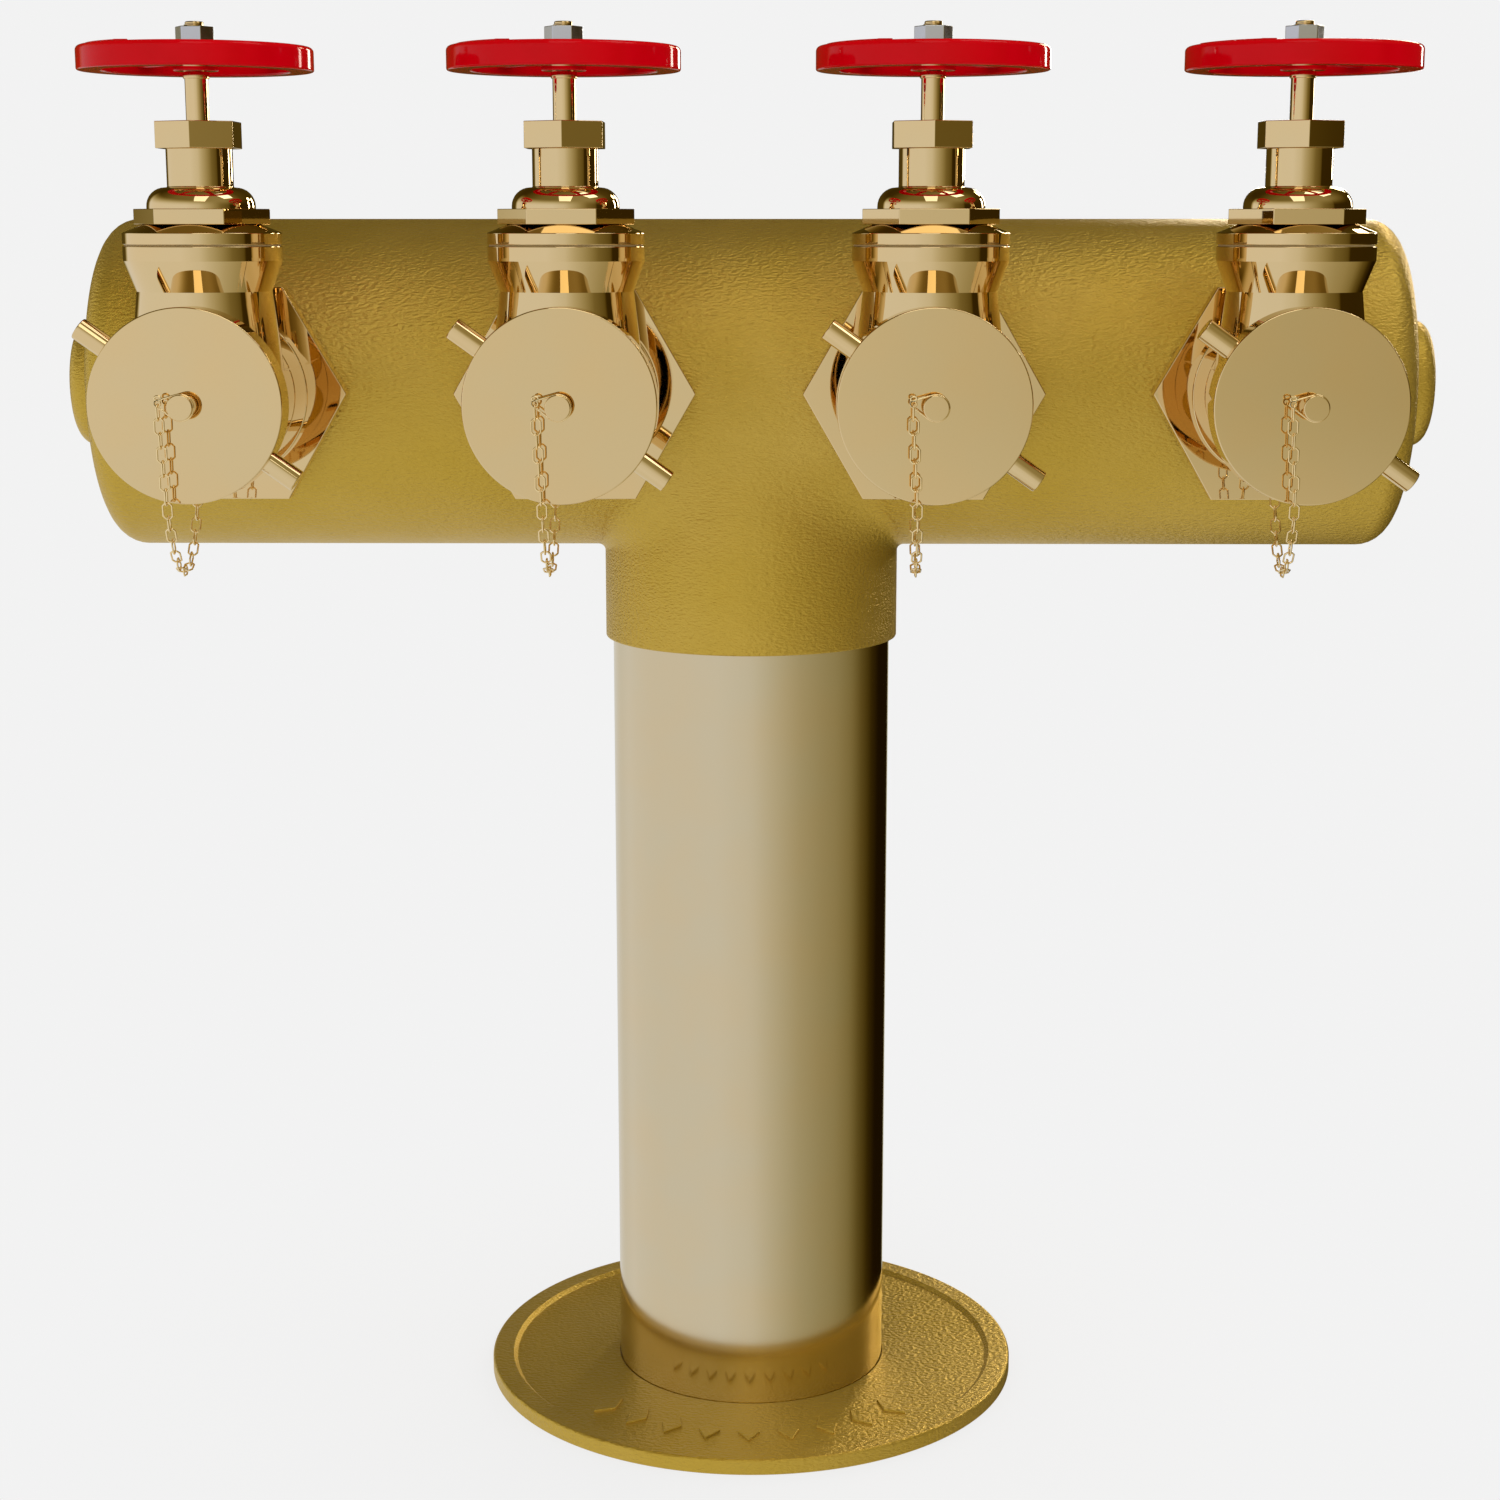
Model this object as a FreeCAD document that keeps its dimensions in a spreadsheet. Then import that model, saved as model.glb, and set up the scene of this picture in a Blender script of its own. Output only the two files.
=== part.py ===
import FreeCAD, Part
import math
import os
import Sketcher

# Four-way free-standing fire pump test connection: a cast brass header on a sleeve and a floor plate, with
# four capped hose gate valves along its front. Millimetres, +Z up, floor at Z = 0, outlets towards -Y.
# Each valve is drawn about the point where its stem axis crosses its waterway axis.

VALVES = (1, 2, 3, 4)
MIDDLE_OF_ROW = 2.5
SPOKES = 4
SQUARE_SIDES = 4
HEX_SIDES = 6
FULL_TURN = 360
# how closely an edge has to match the circle or seam that is looked for, in millimetres
MATCH = 0.05
# chain: links, sides of the wire, cut corner as a share of a link's half width, points on the hook's two ends
CHAIN_LINKS = 22
WIRE_SIDES = 6
LINK_CORNER = 0.58
HOOK_RING_POINTS = 12
HOOK_TIP_POINTS = 6
# halving of the interval in which the catenary's scale lies, and rounds that settle the last link's lean
HALVINGS = 80
SCALE_INTERVAL = 20
LEAN_ROUNDS = 12
SHEET = "Dimensions"

DRIVING_SIZES = {
    # stance of the whole
    "valve_spacing": "177.8",
    "header_height": "566.5",
    "stem_offset": "137.5",
    # play all round between loose pieces and between screwed ones
    "loose_gap": "0.3",
    "thread_gap": "0.1",
    # header casting
    "header_radius": "87.4",
    "header_half_length": "344.6",
    "header_wall": "8",
    "header_edge_round": "15",
    "end_hub_radius": "34",
    "end_hub_reach": "20.4",
    "end_hub_round": "8",
    "collar_radius": "80.2",
    "collar_drop": "138",
    "collar_blend": "12",
    "inlet_bore_radius": "69.2",
    "outlet_boss_radius": "47",
    "outlet_boss_depth": "26.8",
    "outlet_face": "87.6",
    "outlet_bore_radius": "36.5",
    # sleeve and floor plate
    "sleeve_radius": "76.2",
    "sleeve_wall": "1.65",
    "sleeve_length": "457.2",
    "plate_radius": "150.3",
    "plate_rim_height": "8.5",
    "plate_rim_inner": "138.3",
    "plate_field_height": "6.4",
    "plate_edge_round": "1.2",
    # valve body
    "waterway_radius": "25.5",
    "inlet_length": "26",
    "hex_flats": "107",
    "hex_thickness": "11",
    "hub_radius": "43",
    "hub_length": "6",
    "barrel_radius": "39.6",
    "barrel_front": "36.6",
    "hose_thread_radius": "38.97",
    "hose_thread_front": "48.7",
    "neck_foot_radius": "38.8",
    "waist_radius": "32.9",
    "waist_height": "52.5",
    "flange_radius": "38.5",
    "flange_bottom": "67.2",
    "body_top": "74.2",
    "slot_half_width": "28.6",
    "slot_half_depth": "8.5",
    "spigot_radius": "32",
    "spigot_bottom": "62",
    "eye_radius": "4.8",
    "eye_hole_radius": "1.9",
    "eye_thickness": "1.4",
    "eye_side": "6.5",
    "eye_front": "3.5",
    "eye_drop": "44.2",
    # bonnet, its gasket, packing and gland nut
    "bonnet_bottom": "75",
    "bonnet_flange_top": "80.5",
    "bonnet_cone_top_radius": "28.5",
    "bonnet_hex_flats": "58",
    "bonnet_hex_bottom": "84.6",
    "bonnet_hex_top": "92",
    "dome_radius": "26.2",
    "dome_top": "102.2",
    "dome_round": "10",
    "bonnet_neck_radius": "16",
    "gland_shoulder": "120.6",
    "gland_thread_radius": "13",
    "gland_thread_top": "128",
    "packing_radius": "9.5",
    "packing_bottom": "103",
    "bonnet_cavity_radius": "29.8",
    "bonnet_cavity_top": "96",
    "gate_boss_room": "11",
    "bonnet_gasket_radius": "37.5",
    "gland_flats": "37.8",
    "gland_turn": "30",
    "gland_top": "133.4",
    "gland_inner_top": "129",
    # stem, gate, handwheel and nut
    "stem_radius": "5.6",
    "stem_hole_radius": "5.7",
    "stem_bottom": "27",
    "stem_collar_radius": "9.1",
    "stem_collar_height": "3.9",
    "drive_radius": "6.3",
    "drive_bottom": "153.5",
    "drive_seat": "156.8",
    "drive_flats": "10",
    "drive_top": "167.8",
    "stem_thread_radius": "4.9",
    "stem_top": "180.3",
    "gate_radius": "28",
    "gate_half_thickness": "8",
    "gate_boss_top": "37",
    "wheel_radius": "56.4",
    "wheel_rim_inner": "45",
    "wheel_bottom": "157",
    "wheel_top": "168.6",
    "wheel_top_round": "2.6",
    "wheel_bottom_round": "1.2",
    "wheel_hub_radius": "11",
    "spoke_bottom": "160.2",
    "spoke_height": "6.4",
    "spoke_half_width": "4.6",
    "spoke_root_half_width": "5.75",
    "wheel_turn": "45",
    "wheel_nut_flats": "16.2",
    "wheel_nut_top": "177.9",
    # hose cap, its gasket, stud, hook and chain
    "cap_radius": "46.5",
    "cap_front": "55.7",
    "cap_back": "37.2",
    "cap_face": "4.5",
    "cap_bore_radius": "39.3",
    "cap_edge_round": "0.6",
    "cap_gasket_thickness": "2.3",
    "cap_gasket_inner": "30",
    "lug_radius": "5.5",
    "lug_reach": "62.5",
    "lug_plane": "46.7",
    "lug_turn": "35.5",
    "stud_neck_radius": "3",
    "stud_body_radius": "5.2",
    "stud_head_radius": "6.2",
    "stud_head_back": "65",
    "stud_head_front": "66.7",
    "stud_rivet_radius": "5",
    "stud_rivet_height": "1.5",
    "hook_plane": "64.3",
    "hook_ring_radius": "6.2",
    "hook_tip_radius": "1.4",
    "hook_reach": "10.9",
    "hook_rise": "2",
    "hook_wire_radius": "0.5",
    "link_length": "8.5",
    "link_width": "5.3",
    "link_pitch": "6.66",
    "chain_wire_radius": "0.45",
    "chain_slack_gap": "0.05",
    "chain_bend_drop": "49.5",
    "chain_bend_side": "8",
}


class Size:
    """A length together with the sheet formula that gives it."""

    def __init__(self, value, formula):
        self.value = value
        self.formula = formula

    def __add__(self, other):
        other = as_size(other)
        return Size(self.value + other.value, f"({self.formula} + {other.formula})")

    def __sub__(self, other):
        other = as_size(other)
        return Size(self.value - other.value, f"({self.formula} - {other.formula})")

    def __mul__(self, number):
        return Size(self.value * number, f"({self.formula} * {number})")

    def __truediv__(self, number):
        return Size(self.value / number, f"({self.formula} / {number})")

    def __neg__(self):
        return Size(-self.value, f"(-1 * {self.formula})")


class Sizes:
    """The sheet's cells as Size values, by alias."""


def as_size(number):
    """Return a Size for a Size or a plain number."""
    if isinstance(number, Size):
        return number
    return Size(float(number), str(float(number)))


def fill_sheet():
    """Write the driving sizes to the sheet and return them as Size values."""
    sheet = doc.addObject("Spreadsheet::Sheet", SHEET)
    for row, (alias, text) in enumerate(DRIVING_SIZES.items(), start=1):
        sheet.set(f"A{row}", alias)
        sheet.set(f"B{row}", text)
        sheet.setAlias(f"B{row}", alias)
    doc.recompute()
    sizes = Sizes()
    for alias in DRIVING_SIZES:
        setattr(sizes, alias, Size(float(getattr(sheet, alias)), f"{SHEET}.{alias}"))
    return sizes


def bind(feature, field, size):
    """Bind a property of a feature to a sheet formula."""
    feature.setExpression(field, as_size(size).formula)


def new_body(label, place=(0, 0, 0), turn=None, turn_axis=None):
    """Start a body at a bound place, turned by a bound angle about one axis."""
    body = doc.addObject("PartDesign::Body", label)
    body.Label = label
    put(body, place, turn, turn_axis)
    return body


def put(sub_part, place, turn=None, turn_axis=None):
    """Bind the placement of a sub-part."""
    if turn is not None:
        sub_part.Placement = FreeCAD.Placement(
            FreeCAD.Vector(0, 0, 0), FreeCAD.Rotation(turn_axis, turn.value))
        bind(sub_part, "Placement.Rotation.Angle", turn)
    for axis, size in zip("xyz", place):
        bind(sub_part, f"Placement.Base.{axis}", size)


def origin_feature(body, role):
    """Return an origin plane or axis of a body."""
    for feature in body.Origin.OriginFeatures:
        if feature.Role == role:
            return feature
    raise ValueError(role)


def attach(feature, body, plane, shift=(0, 0, 0)):
    """Attach a feature flat to an origin plane, with a bound shift in the plane's own axes."""
    feature.AttachmentSupport = [(origin_feature(body, plane), "")]
    feature.MapMode = "FlatFace"
    for axis, size in zip("xyz", shift):
        bind(feature, f"AttachmentOffset.Base.{axis}", size)


def outline(body, name, plane, corners, shift=(0, 0, 0)):
    """Draw a closed outline of straight edges with every corner bound to sheet formulas."""
    sketch = body.newObject("Sketcher::SketchObject", name)
    attach(sketch, body, plane, shift)
    corners = [(as_size(across), as_size(along)) for across, along in corners]
    points = [FreeCAD.Vector(across.value, along.value, 0) for across, along in corners]
    count = len(points)
    for index, point in enumerate(points):
        sketch.addGeometry(Part.LineSegment(point, points[(index + 1) % count]), False)
    for index in range(count):
        sketch.addConstraint(Sketcher.Constraint("Coincident", index, 2, (index + 1) % count, 1))
    for index, (across, along) in enumerate(corners):
        for kind, size, axis in (("DistanceX", across, -2), ("DistanceY", along, -1)):
            if size.value == 0:
                sketch.addConstraint(Sketcher.Constraint("PointOnObject", index, 1, axis))
                continue
            made = sketch.addConstraint(Sketcher.Constraint(kind, -1, 1, index, 1, size.value))
            bind(sketch, f"Constraints[{made}]", size)
    return sketch


def revolve(body, name, plane, axis, corners, kind="Revolution"):
    """Turn an outline once round an axis of its sketch, to add (Revolution) or cut (Groove)."""
    sketch = outline(body, name + "Outline", plane, corners)
    feature = body.newObject("PartDesign::" + kind, name)
    feature.Profile = sketch
    feature.ReferenceAxis = (sketch, [axis])
    feature.Angle = FULL_TURN
    return feature


def primitive(body, kind, name, plane, shift, **sizes):
    """Add or cut a primitive that is attached to an origin plane."""
    feature = body.newObject("PartDesign::" + kind, name)
    attach(feature, body, plane, shift)
    for field, size in sizes.items():
        bind(feature, field, size)
    return feature


def hexagon(body, name, plane, shift, flats, height):
    """Add a hexagonal prism given across its flats, with corners on the plane's first axis."""
    prism = primitive(body, "AdditivePrism", name, plane, shift,
                      Circumradius=flats / math.sqrt(3), Height=height)
    prism.Polygon = HEX_SIDES
    return prism


def repeat_round(body, name, feature, count):
    """Repeat a feature evenly round the body's Z axis."""
    pattern = body.newObject("PartDesign::PolarPattern", name)
    pattern.Originals = [feature]
    pattern.Axis = (origin_feature(body, "Z_Axis"), [""])
    pattern.Angle = FULL_TURN
    pattern.Occurrences = count
    body.Tip = pattern
    return pattern


def is_circle(edge, radius, axis, *levels):
    """Tell whether an edge is a circle of a radius, centred at one of some levels along an axis."""
    if not isinstance(edge.Curve, Part.Circle) or abs(edge.Curve.Radius - radius.value) > MATCH:
        return False
    level = edge.Curve.Center[axis]
    return any(abs(level - as_size(wanted).value) < MATCH for wanted in levels)


def round_edges(body, name, radius, wanted):
    """Fillet the edges of the body's tip that a test picks."""
    doc.recompute()
    base = body.Tip
    names = [f"Edge{index}" for index, edge in enumerate(base.Shape.Edges, start=1) if wanted(edge)]
    feature = body.newObject("PartDesign::Fillet", name)
    feature.Base = (base, names)
    bind(feature, "Radius", radius)
    return feature


def valve_side(number):
    """Return a valve's place along the header, counted from its middle."""
    return d.valve_spacing * (number - MIDDLE_OF_ROW)


def valve_place(number):
    """Return the point where a valve's stem axis crosses its waterway axis."""
    return (valve_side(number), -d.stem_offset, d.header_height)


def header_body():
    """Hollow cast header with domed end hubs, a tee collar below and four threaded outlets in front."""
    body = new_body("header_body", (0, 0, d.header_height))
    hub_end = d.header_half_length + d.end_hub_reach
    revolve(body, "Barrel", "XZ_Plane", "H_Axis", [
        (-hub_end, 0), (-hub_end, d.end_hub_radius),
        (-d.header_half_length, d.end_hub_radius), (-d.header_half_length, d.header_radius),
        (d.header_half_length, d.header_radius), (d.header_half_length, d.end_hub_radius),
        (hub_end, d.end_hub_radius), (hub_end, 0)])
    round_edges(body, "EndRounds", d.header_edge_round, lambda edge: is_circle(
        edge, d.header_radius, 0, -d.header_half_length, d.header_half_length))
    round_edges(body, "HubRounds", d.end_hub_round, lambda edge: is_circle(
        edge, d.end_hub_radius, 0, -hub_end, hub_end))
    revolve(body, "Collar", "XZ_Plane", "V_Axis", [
        (0, 0), (d.collar_radius, 0), (d.collar_radius, -d.collar_drop), (0, -d.collar_drop)])
    round_edges(body, "CollarBlend", d.collar_blend, is_collar_seam)
    inner_end = d.header_half_length - d.header_wall
    inner_radius = d.header_radius - d.header_wall
    revolve(body, "Waterway", "XZ_Plane", "H_Axis", [
        (-inner_end, 0), (-inner_end, inner_radius), (inner_end, inner_radius), (inner_end, 0)], "Groove")
    shoulder = d.sleeve_length - d.header_height
    socket_radius = d.sleeve_radius + d.loose_gap
    revolve(body, "InletAndSocket", "XZ_Plane", "V_Axis", [
        (0, 0), (d.inlet_bore_radius, 0), (d.inlet_bore_radius, shoulder), (socket_radius, shoulder),
        (socket_radius, -d.collar_drop), (0, -d.collar_drop)], "Groove")
    boss_back = d.outlet_face - d.outlet_boss_depth
    for number in VALVES:
        primitive(body, "AdditiveCylinder", f"OutletBoss{number}", "XZ_Plane",
                  (valve_side(number), 0, boss_back),
                  Radius=d.outlet_boss_radius, Height=d.outlet_boss_depth)
    for number in VALVES:
        primitive(body, "SubtractiveCylinder", f"OutletBore{number}", "XZ_Plane",
                  (valve_side(number), 0, boss_back),
                  Radius=d.outlet_bore_radius, Height=d.outlet_boss_depth)
    return body


def is_collar_seam(edge):
    """Tell whether an edge is the seam where the collar meets the underside of the header barrel."""
    if isinstance(edge.Curve, (Part.Circle, Part.Line)):
        return False
    middle = edge.valueAt((edge.FirstParameter + edge.LastParameter) / 2)
    return abs(math.hypot(middle.x, middle.y) - d.collar_radius.value) < MATCH


def sleeve():
    """Polished tube that covers the riser between the floor and the header's collar."""
    body = new_body("sleeve")
    bore = d.sleeve_radius - d.sleeve_wall
    revolve(body, "Tube", "XZ_Plane", "V_Axis", [
        (bore, 0), (d.sleeve_radius, 0), (d.sleeve_radius, d.sleeve_length), (bore, d.sleeve_length)])
    return body


def floor_plate():
    """Round cast plate with a raised rim, loose round the foot of the sleeve."""
    body = new_body("floor_plate")
    hole = d.sleeve_radius + d.loose_gap
    revolve(body, "Dish", "XZ_Plane", "V_Axis", [
        (hole, 0), (d.plate_radius, 0), (d.plate_radius, d.plate_rim_height),
        (d.plate_rim_inner, d.plate_rim_height),
        (d.plate_rim_inner - (d.plate_rim_height - d.plate_field_height), d.plate_field_height),
        (hole, d.plate_field_height)])
    round_edges(body, "RimRound", d.plate_edge_round, lambda edge: is_circle(
        edge, d.plate_radius, 2, d.plate_rim_height))
    return body


def valve_body(number):
    """Gate valve body: hexagon, hub, barrel and hose thread along Y, gate slot and bonnet flange up Z."""
    body = new_body(f"valve_body_{number}", valve_place(number))
    seat = d.stem_offset - d.outlet_face
    hex_front = seat - d.hex_thickness
    hub_front = hex_front - d.hub_length
    inlet_end = seat + d.inlet_length
    inlet_radius = d.outlet_bore_radius - d.thread_gap
    revolve(body, "Run", "XY_Plane", "V_Axis", [
        (0, inlet_end), (inlet_radius, inlet_end), (inlet_radius, seat), (d.hub_radius, seat),
        (d.hub_radius, hub_front), (d.barrel_radius, hub_front), (d.barrel_radius, -d.barrel_front),
        (d.hose_thread_radius, -d.barrel_front), (d.hose_thread_radius, -d.hose_thread_front),
        (0, -d.hose_thread_front)])
    hexagon(body, "Hexagon", "XZ_Plane", (0, 0, -seat), d.hex_flats, d.hex_thickness)
    revolve(body, "Neck", "XZ_Plane", "V_Axis", [
        (0, 0), (d.neck_foot_radius, 0), (d.waist_radius, d.waist_height),
        (d.flange_radius, d.flange_bottom), (d.flange_radius, d.body_top), (0, d.body_top)])
    eye_left = -d.eye_side - d.eye_thickness / 2
    eye_height = d.eye_hole_radius - d.eye_drop
    primitive(body, "AdditiveCylinder", "ChainEye", "YZ_Plane", (-d.eye_front, eye_height, eye_left),
              Radius=d.eye_radius, Height=d.eye_thickness)
    primitive(body, "AdditiveBox", "ChainEyeRoot", "XY_Plane",
              (eye_left, -d.eye_front - d.eye_radius, eye_height),
              Length=d.eye_thickness, Width=d.eye_radius * 2, Height=d.eye_radius * 2)
    primitive(body, "SubtractiveCylinder", "ChainEyeHole", "YZ_Plane",
              (-d.eye_front, -d.eye_drop, eye_left), Radius=d.eye_hole_radius, Height=d.eye_thickness)
    primitive(body, "SubtractiveCylinder", "Waterway", "XZ_Plane", (0, 0, -inlet_end),
              Radius=d.waterway_radius, Height=inlet_end + d.hose_thread_front)
    primitive(body, "SubtractiveCylinder", "SlotFoot", "XZ_Plane", (0, 0, -d.slot_half_depth),
              Radius=d.slot_half_width, Height=d.slot_half_depth * 2)
    primitive(body, "SubtractiveBox", "Slot", "XY_Plane", (-d.slot_half_width, -d.slot_half_depth, 0),
              Length=d.slot_half_width * 2, Width=d.slot_half_depth * 2, Height=d.body_top)
    primitive(body, "SubtractiveCylinder", "BonnetThread", "XY_Plane", (0, 0, d.spigot_bottom - d.loose_gap),
              Radius=d.spigot_radius + d.thread_gap, Height=d.body_top)
    return body


def bonnet(number):
    """Screwed bonnet: spigot, flange, hexagon, domed shoulder and the neck that holds the packing."""
    body = new_body(f"bonnet_{number}", valve_place(number))
    revolve(body, "Turned", "XZ_Plane", "V_Axis", [
        (d.bonnet_cavity_radius, d.spigot_bottom), (d.spigot_radius, d.spigot_bottom),
        (d.spigot_radius, d.bonnet_bottom), (d.flange_radius, d.bonnet_bottom),
        (d.flange_radius, d.bonnet_flange_top), (d.bonnet_cone_top_radius, d.bonnet_hex_bottom),
        (d.dome_radius, d.bonnet_hex_top), (d.dome_radius, d.dome_top),
        (d.bonnet_neck_radius, d.dome_top), (d.bonnet_neck_radius, d.gland_shoulder),
        (d.gland_thread_radius, d.gland_shoulder), (d.gland_thread_radius, d.gland_thread_top),
        (d.packing_radius, d.gland_thread_top), (d.packing_radius, d.packing_bottom),
        (d.stem_hole_radius, d.packing_bottom), (d.stem_hole_radius, d.bonnet_cavity_top),
        (d.gate_boss_room, d.bonnet_cavity_top), (d.gate_boss_room, d.bonnet_hex_top),
        (d.bonnet_cavity_radius, d.bonnet_flange_top)])
    round_edges(body, "DomeRound", d.dome_round, lambda edge: is_circle(edge, d.dome_radius, 2, d.dome_top))
    hexagon(body, "Hexagon", "XY_Plane", (0, 0, d.bonnet_hex_bottom), d.bonnet_hex_flats,
            d.bonnet_hex_top - d.bonnet_hex_bottom)
    revolve(body, "GateRoom", "XZ_Plane", "V_Axis", [
        (0, d.spigot_bottom), (d.bonnet_cavity_radius, d.spigot_bottom),
        (d.bonnet_cavity_radius, d.bonnet_flange_top), (d.gate_boss_room, d.bonnet_hex_top),
        (0, d.bonnet_hex_top)], "Groove")
    return body


def ring(label, number, inner, outer, bottom, top):
    """Flat ring about a valve's stem axis."""
    body = new_body(f"{label}_{number}", valve_place(number))
    revolve(body, "Ring", "XZ_Plane", "V_Axis", [
        (inner, bottom), (outer, bottom), (outer, top), (inner, top)])
    return body


def gland_nut(number):
    """Hexagonal nut on the bonnet's neck that presses the packing, one corner to the front."""
    body = new_body(f"gland_nut_{number}", valve_place(number), d.gland_turn, FreeCAD.Vector(0, 0, 1))
    hexagon(body, "Hexagon", "XY_Plane", (0, 0, d.gland_shoulder), d.gland_flats,
            d.gland_top - d.gland_shoulder)
    thread_radius = d.gland_thread_radius + d.thread_gap
    revolve(body, "ThreadAndHole", "XZ_Plane", "V_Axis", [
        (0, d.gland_shoulder), (thread_radius, d.gland_shoulder), (thread_radius, d.gland_inner_top),
        (d.stem_hole_radius, d.gland_inner_top), (d.stem_hole_radius, d.gland_top), (0, d.gland_top)],
        "Groove")
    return body


def stem(number):
    """Stem that turns without rising: thread below, thrust collar, square drive and threaded end."""
    body = new_body(f"stem_{number}", valve_place(number), d.wheel_turn, FreeCAD.Vector(0, 0, 1))
    collar_bottom = d.packing_bottom + d.loose_gap
    collar_top = collar_bottom + d.stem_collar_height
    revolve(body, "Turned", "XZ_Plane", "V_Axis", [
        (0, d.stem_bottom), (d.stem_radius, d.stem_bottom), (d.stem_radius, collar_bottom),
        (d.stem_collar_radius, collar_bottom), (d.stem_collar_radius, collar_top),
        (d.stem_radius, collar_top), (d.stem_radius, d.drive_bottom), (d.drive_radius, d.drive_bottom),
        (d.drive_radius, d.drive_top), (d.stem_thread_radius, d.drive_top),
        (d.stem_thread_radius, d.stem_top), (0, d.stem_top)])
    flat = primitive(body, "SubtractiveBox", "DriveFlat", "XY_Plane",
                     (d.drive_flats / 2, -d.drive_radius, d.drive_seat),
                     Length=d.drive_radius, Width=d.drive_radius * 2, Height=d.drive_top - d.drive_seat)
    repeat_round(body, "DriveFlats", flat, SQUARE_SIDES)
    return body


def gate(number):
    """Closing disc with a threaded boss, which rides up and down the turning stem."""
    body = new_body(f"gate_{number}", valve_place(number))
    primitive(body, "AdditiveCylinder", "Disc", "XZ_Plane", (0, 0, -d.gate_half_thickness),
              Radius=d.gate_radius, Height=d.gate_half_thickness * 2)
    primitive(body, "AdditiveCylinder", "Boss", "XY_Plane", (0, 0, 0),
              Radius=d.gate_half_thickness, Height=d.gate_boss_top)
    primitive(body, "SubtractiveCylinder", "StemHole", "XY_Plane", (0, 0, -d.gate_radius),
              Radius=d.stem_hole_radius, Height=d.gate_radius + d.gate_boss_top)
    return body


def handwheel(number):
    """Cast handwheel: rounded rim, straight spokes and a hub with a square hole."""
    body = new_body(f"handwheel_{number}", valve_place(number), d.wheel_turn, FreeCAD.Vector(0, 0, 1))
    revolve(body, "Rim", "XZ_Plane", "V_Axis", [
        (d.wheel_rim_inner, d.wheel_bottom), (d.wheel_radius, d.wheel_bottom),
        (d.wheel_radius, d.wheel_top), (d.wheel_rim_inner, d.wheel_top)])
    round_edges(body, "TopRounds", d.wheel_top_round, lambda edge: is_circle(
        edge, d.wheel_radius, 2, d.wheel_top) or is_circle(edge, d.wheel_rim_inner, 2, d.wheel_top))
    round_edges(body, "BottomRounds", d.wheel_bottom_round, lambda edge: is_circle(
        edge, d.wheel_radius, 2, d.wheel_bottom) or is_circle(edge, d.wheel_rim_inner, 2, d.wheel_bottom))
    root = d.wheel_hub_radius / 2
    tip = d.wheel_rim_inner + d.wheel_top_round
    sketch = outline(body, "SpokeOutline", "XY_Plane", [
        (root, -d.spoke_root_half_width), (tip, -d.spoke_half_width),
        (tip, d.spoke_half_width), (root, d.spoke_root_half_width)], (0, 0, d.spoke_bottom))
    spoke = body.newObject("PartDesign::Pad", "Spoke")
    spoke.Profile = sketch
    bind(spoke, "Length", d.spoke_height)
    repeat_round(body, "Spokes", spoke, SPOKES)
    primitive(body, "AdditiveCylinder", "Hub", "XY_Plane", (0, 0, d.wheel_bottom),
              Radius=d.wheel_hub_radius, Height=d.wheel_top - d.wheel_bottom)
    square = d.drive_flats / 2 + d.thread_gap
    primitive(body, "SubtractiveBox", "SquareHole", "XY_Plane", (-square, -square, d.wheel_bottom),
              Length=square * 2, Width=square * 2, Height=d.wheel_top - d.wheel_bottom)
    return body


def wheel_nut(number):
    """Hexagonal nut that holds the handwheel on the stem."""
    body = new_body(f"wheel_nut_{number}", valve_place(number))
    height = d.wheel_nut_top - d.wheel_top
    hexagon(body, "Hexagon", "XY_Plane", (0, 0, d.wheel_top), d.wheel_nut_flats, height)
    primitive(body, "SubtractiveCylinder", "Thread", "XY_Plane", (0, 0, d.wheel_top),
              Radius=d.stem_thread_radius + d.thread_gap, Height=height)
    return body


def cap(number):
    """Threaded hose cap with a flat face and two pin lugs, one up to the left and one down to the right."""
    body = new_body(f"cap_{number}", valve_place(number), d.lug_turn, FreeCAD.Vector(0, 1, 0))
    revolve(body, "Disc", "XY_Plane", "V_Axis", [
        (0, -d.cap_front), (d.cap_radius, -d.cap_front), (d.cap_radius, -d.cap_back), (0, -d.cap_back)])
    round_edges(body, "EdgeRounds", d.cap_edge_round, lambda edge: is_circle(
        edge, d.cap_radius, 1, -d.cap_front, -d.cap_back))
    primitive(body, "AdditiveCylinder", "Lugs", "YZ_Plane", (-d.lug_plane, 0, -d.lug_reach),
              Radius=d.lug_radius, Height=d.lug_reach * 2)
    inner_face = d.cap_face - d.cap_front
    revolve(body, "Thread", "XY_Plane", "V_Axis", [
        (0, inner_face), (d.cap_bore_radius, inner_face), (d.cap_bore_radius, -d.cap_back),
        (0, -d.cap_back)], "Groove")
    primitive(body, "SubtractiveCylinder", "StudHole", "XZ_Plane", (0, 0, -inner_face),
              Radius=d.stud_neck_radius + d.thread_gap, Height=d.cap_face)
    return body


def cap_gasket(number):
    """Flat gasket in the cap, against its inner face."""
    body = new_body(f"cap_gasket_{number}", valve_place(number))
    back = d.cap_face - d.cap_front
    front = back + d.cap_gasket_thickness
    outer = d.cap_bore_radius - d.loose_gap
    revolve(body, "Ring", "XY_Plane", "V_Axis", [
        (d.cap_gasket_inner, back), (outer, back), (outer, front), (d.cap_gasket_inner, front)])
    return body


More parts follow.
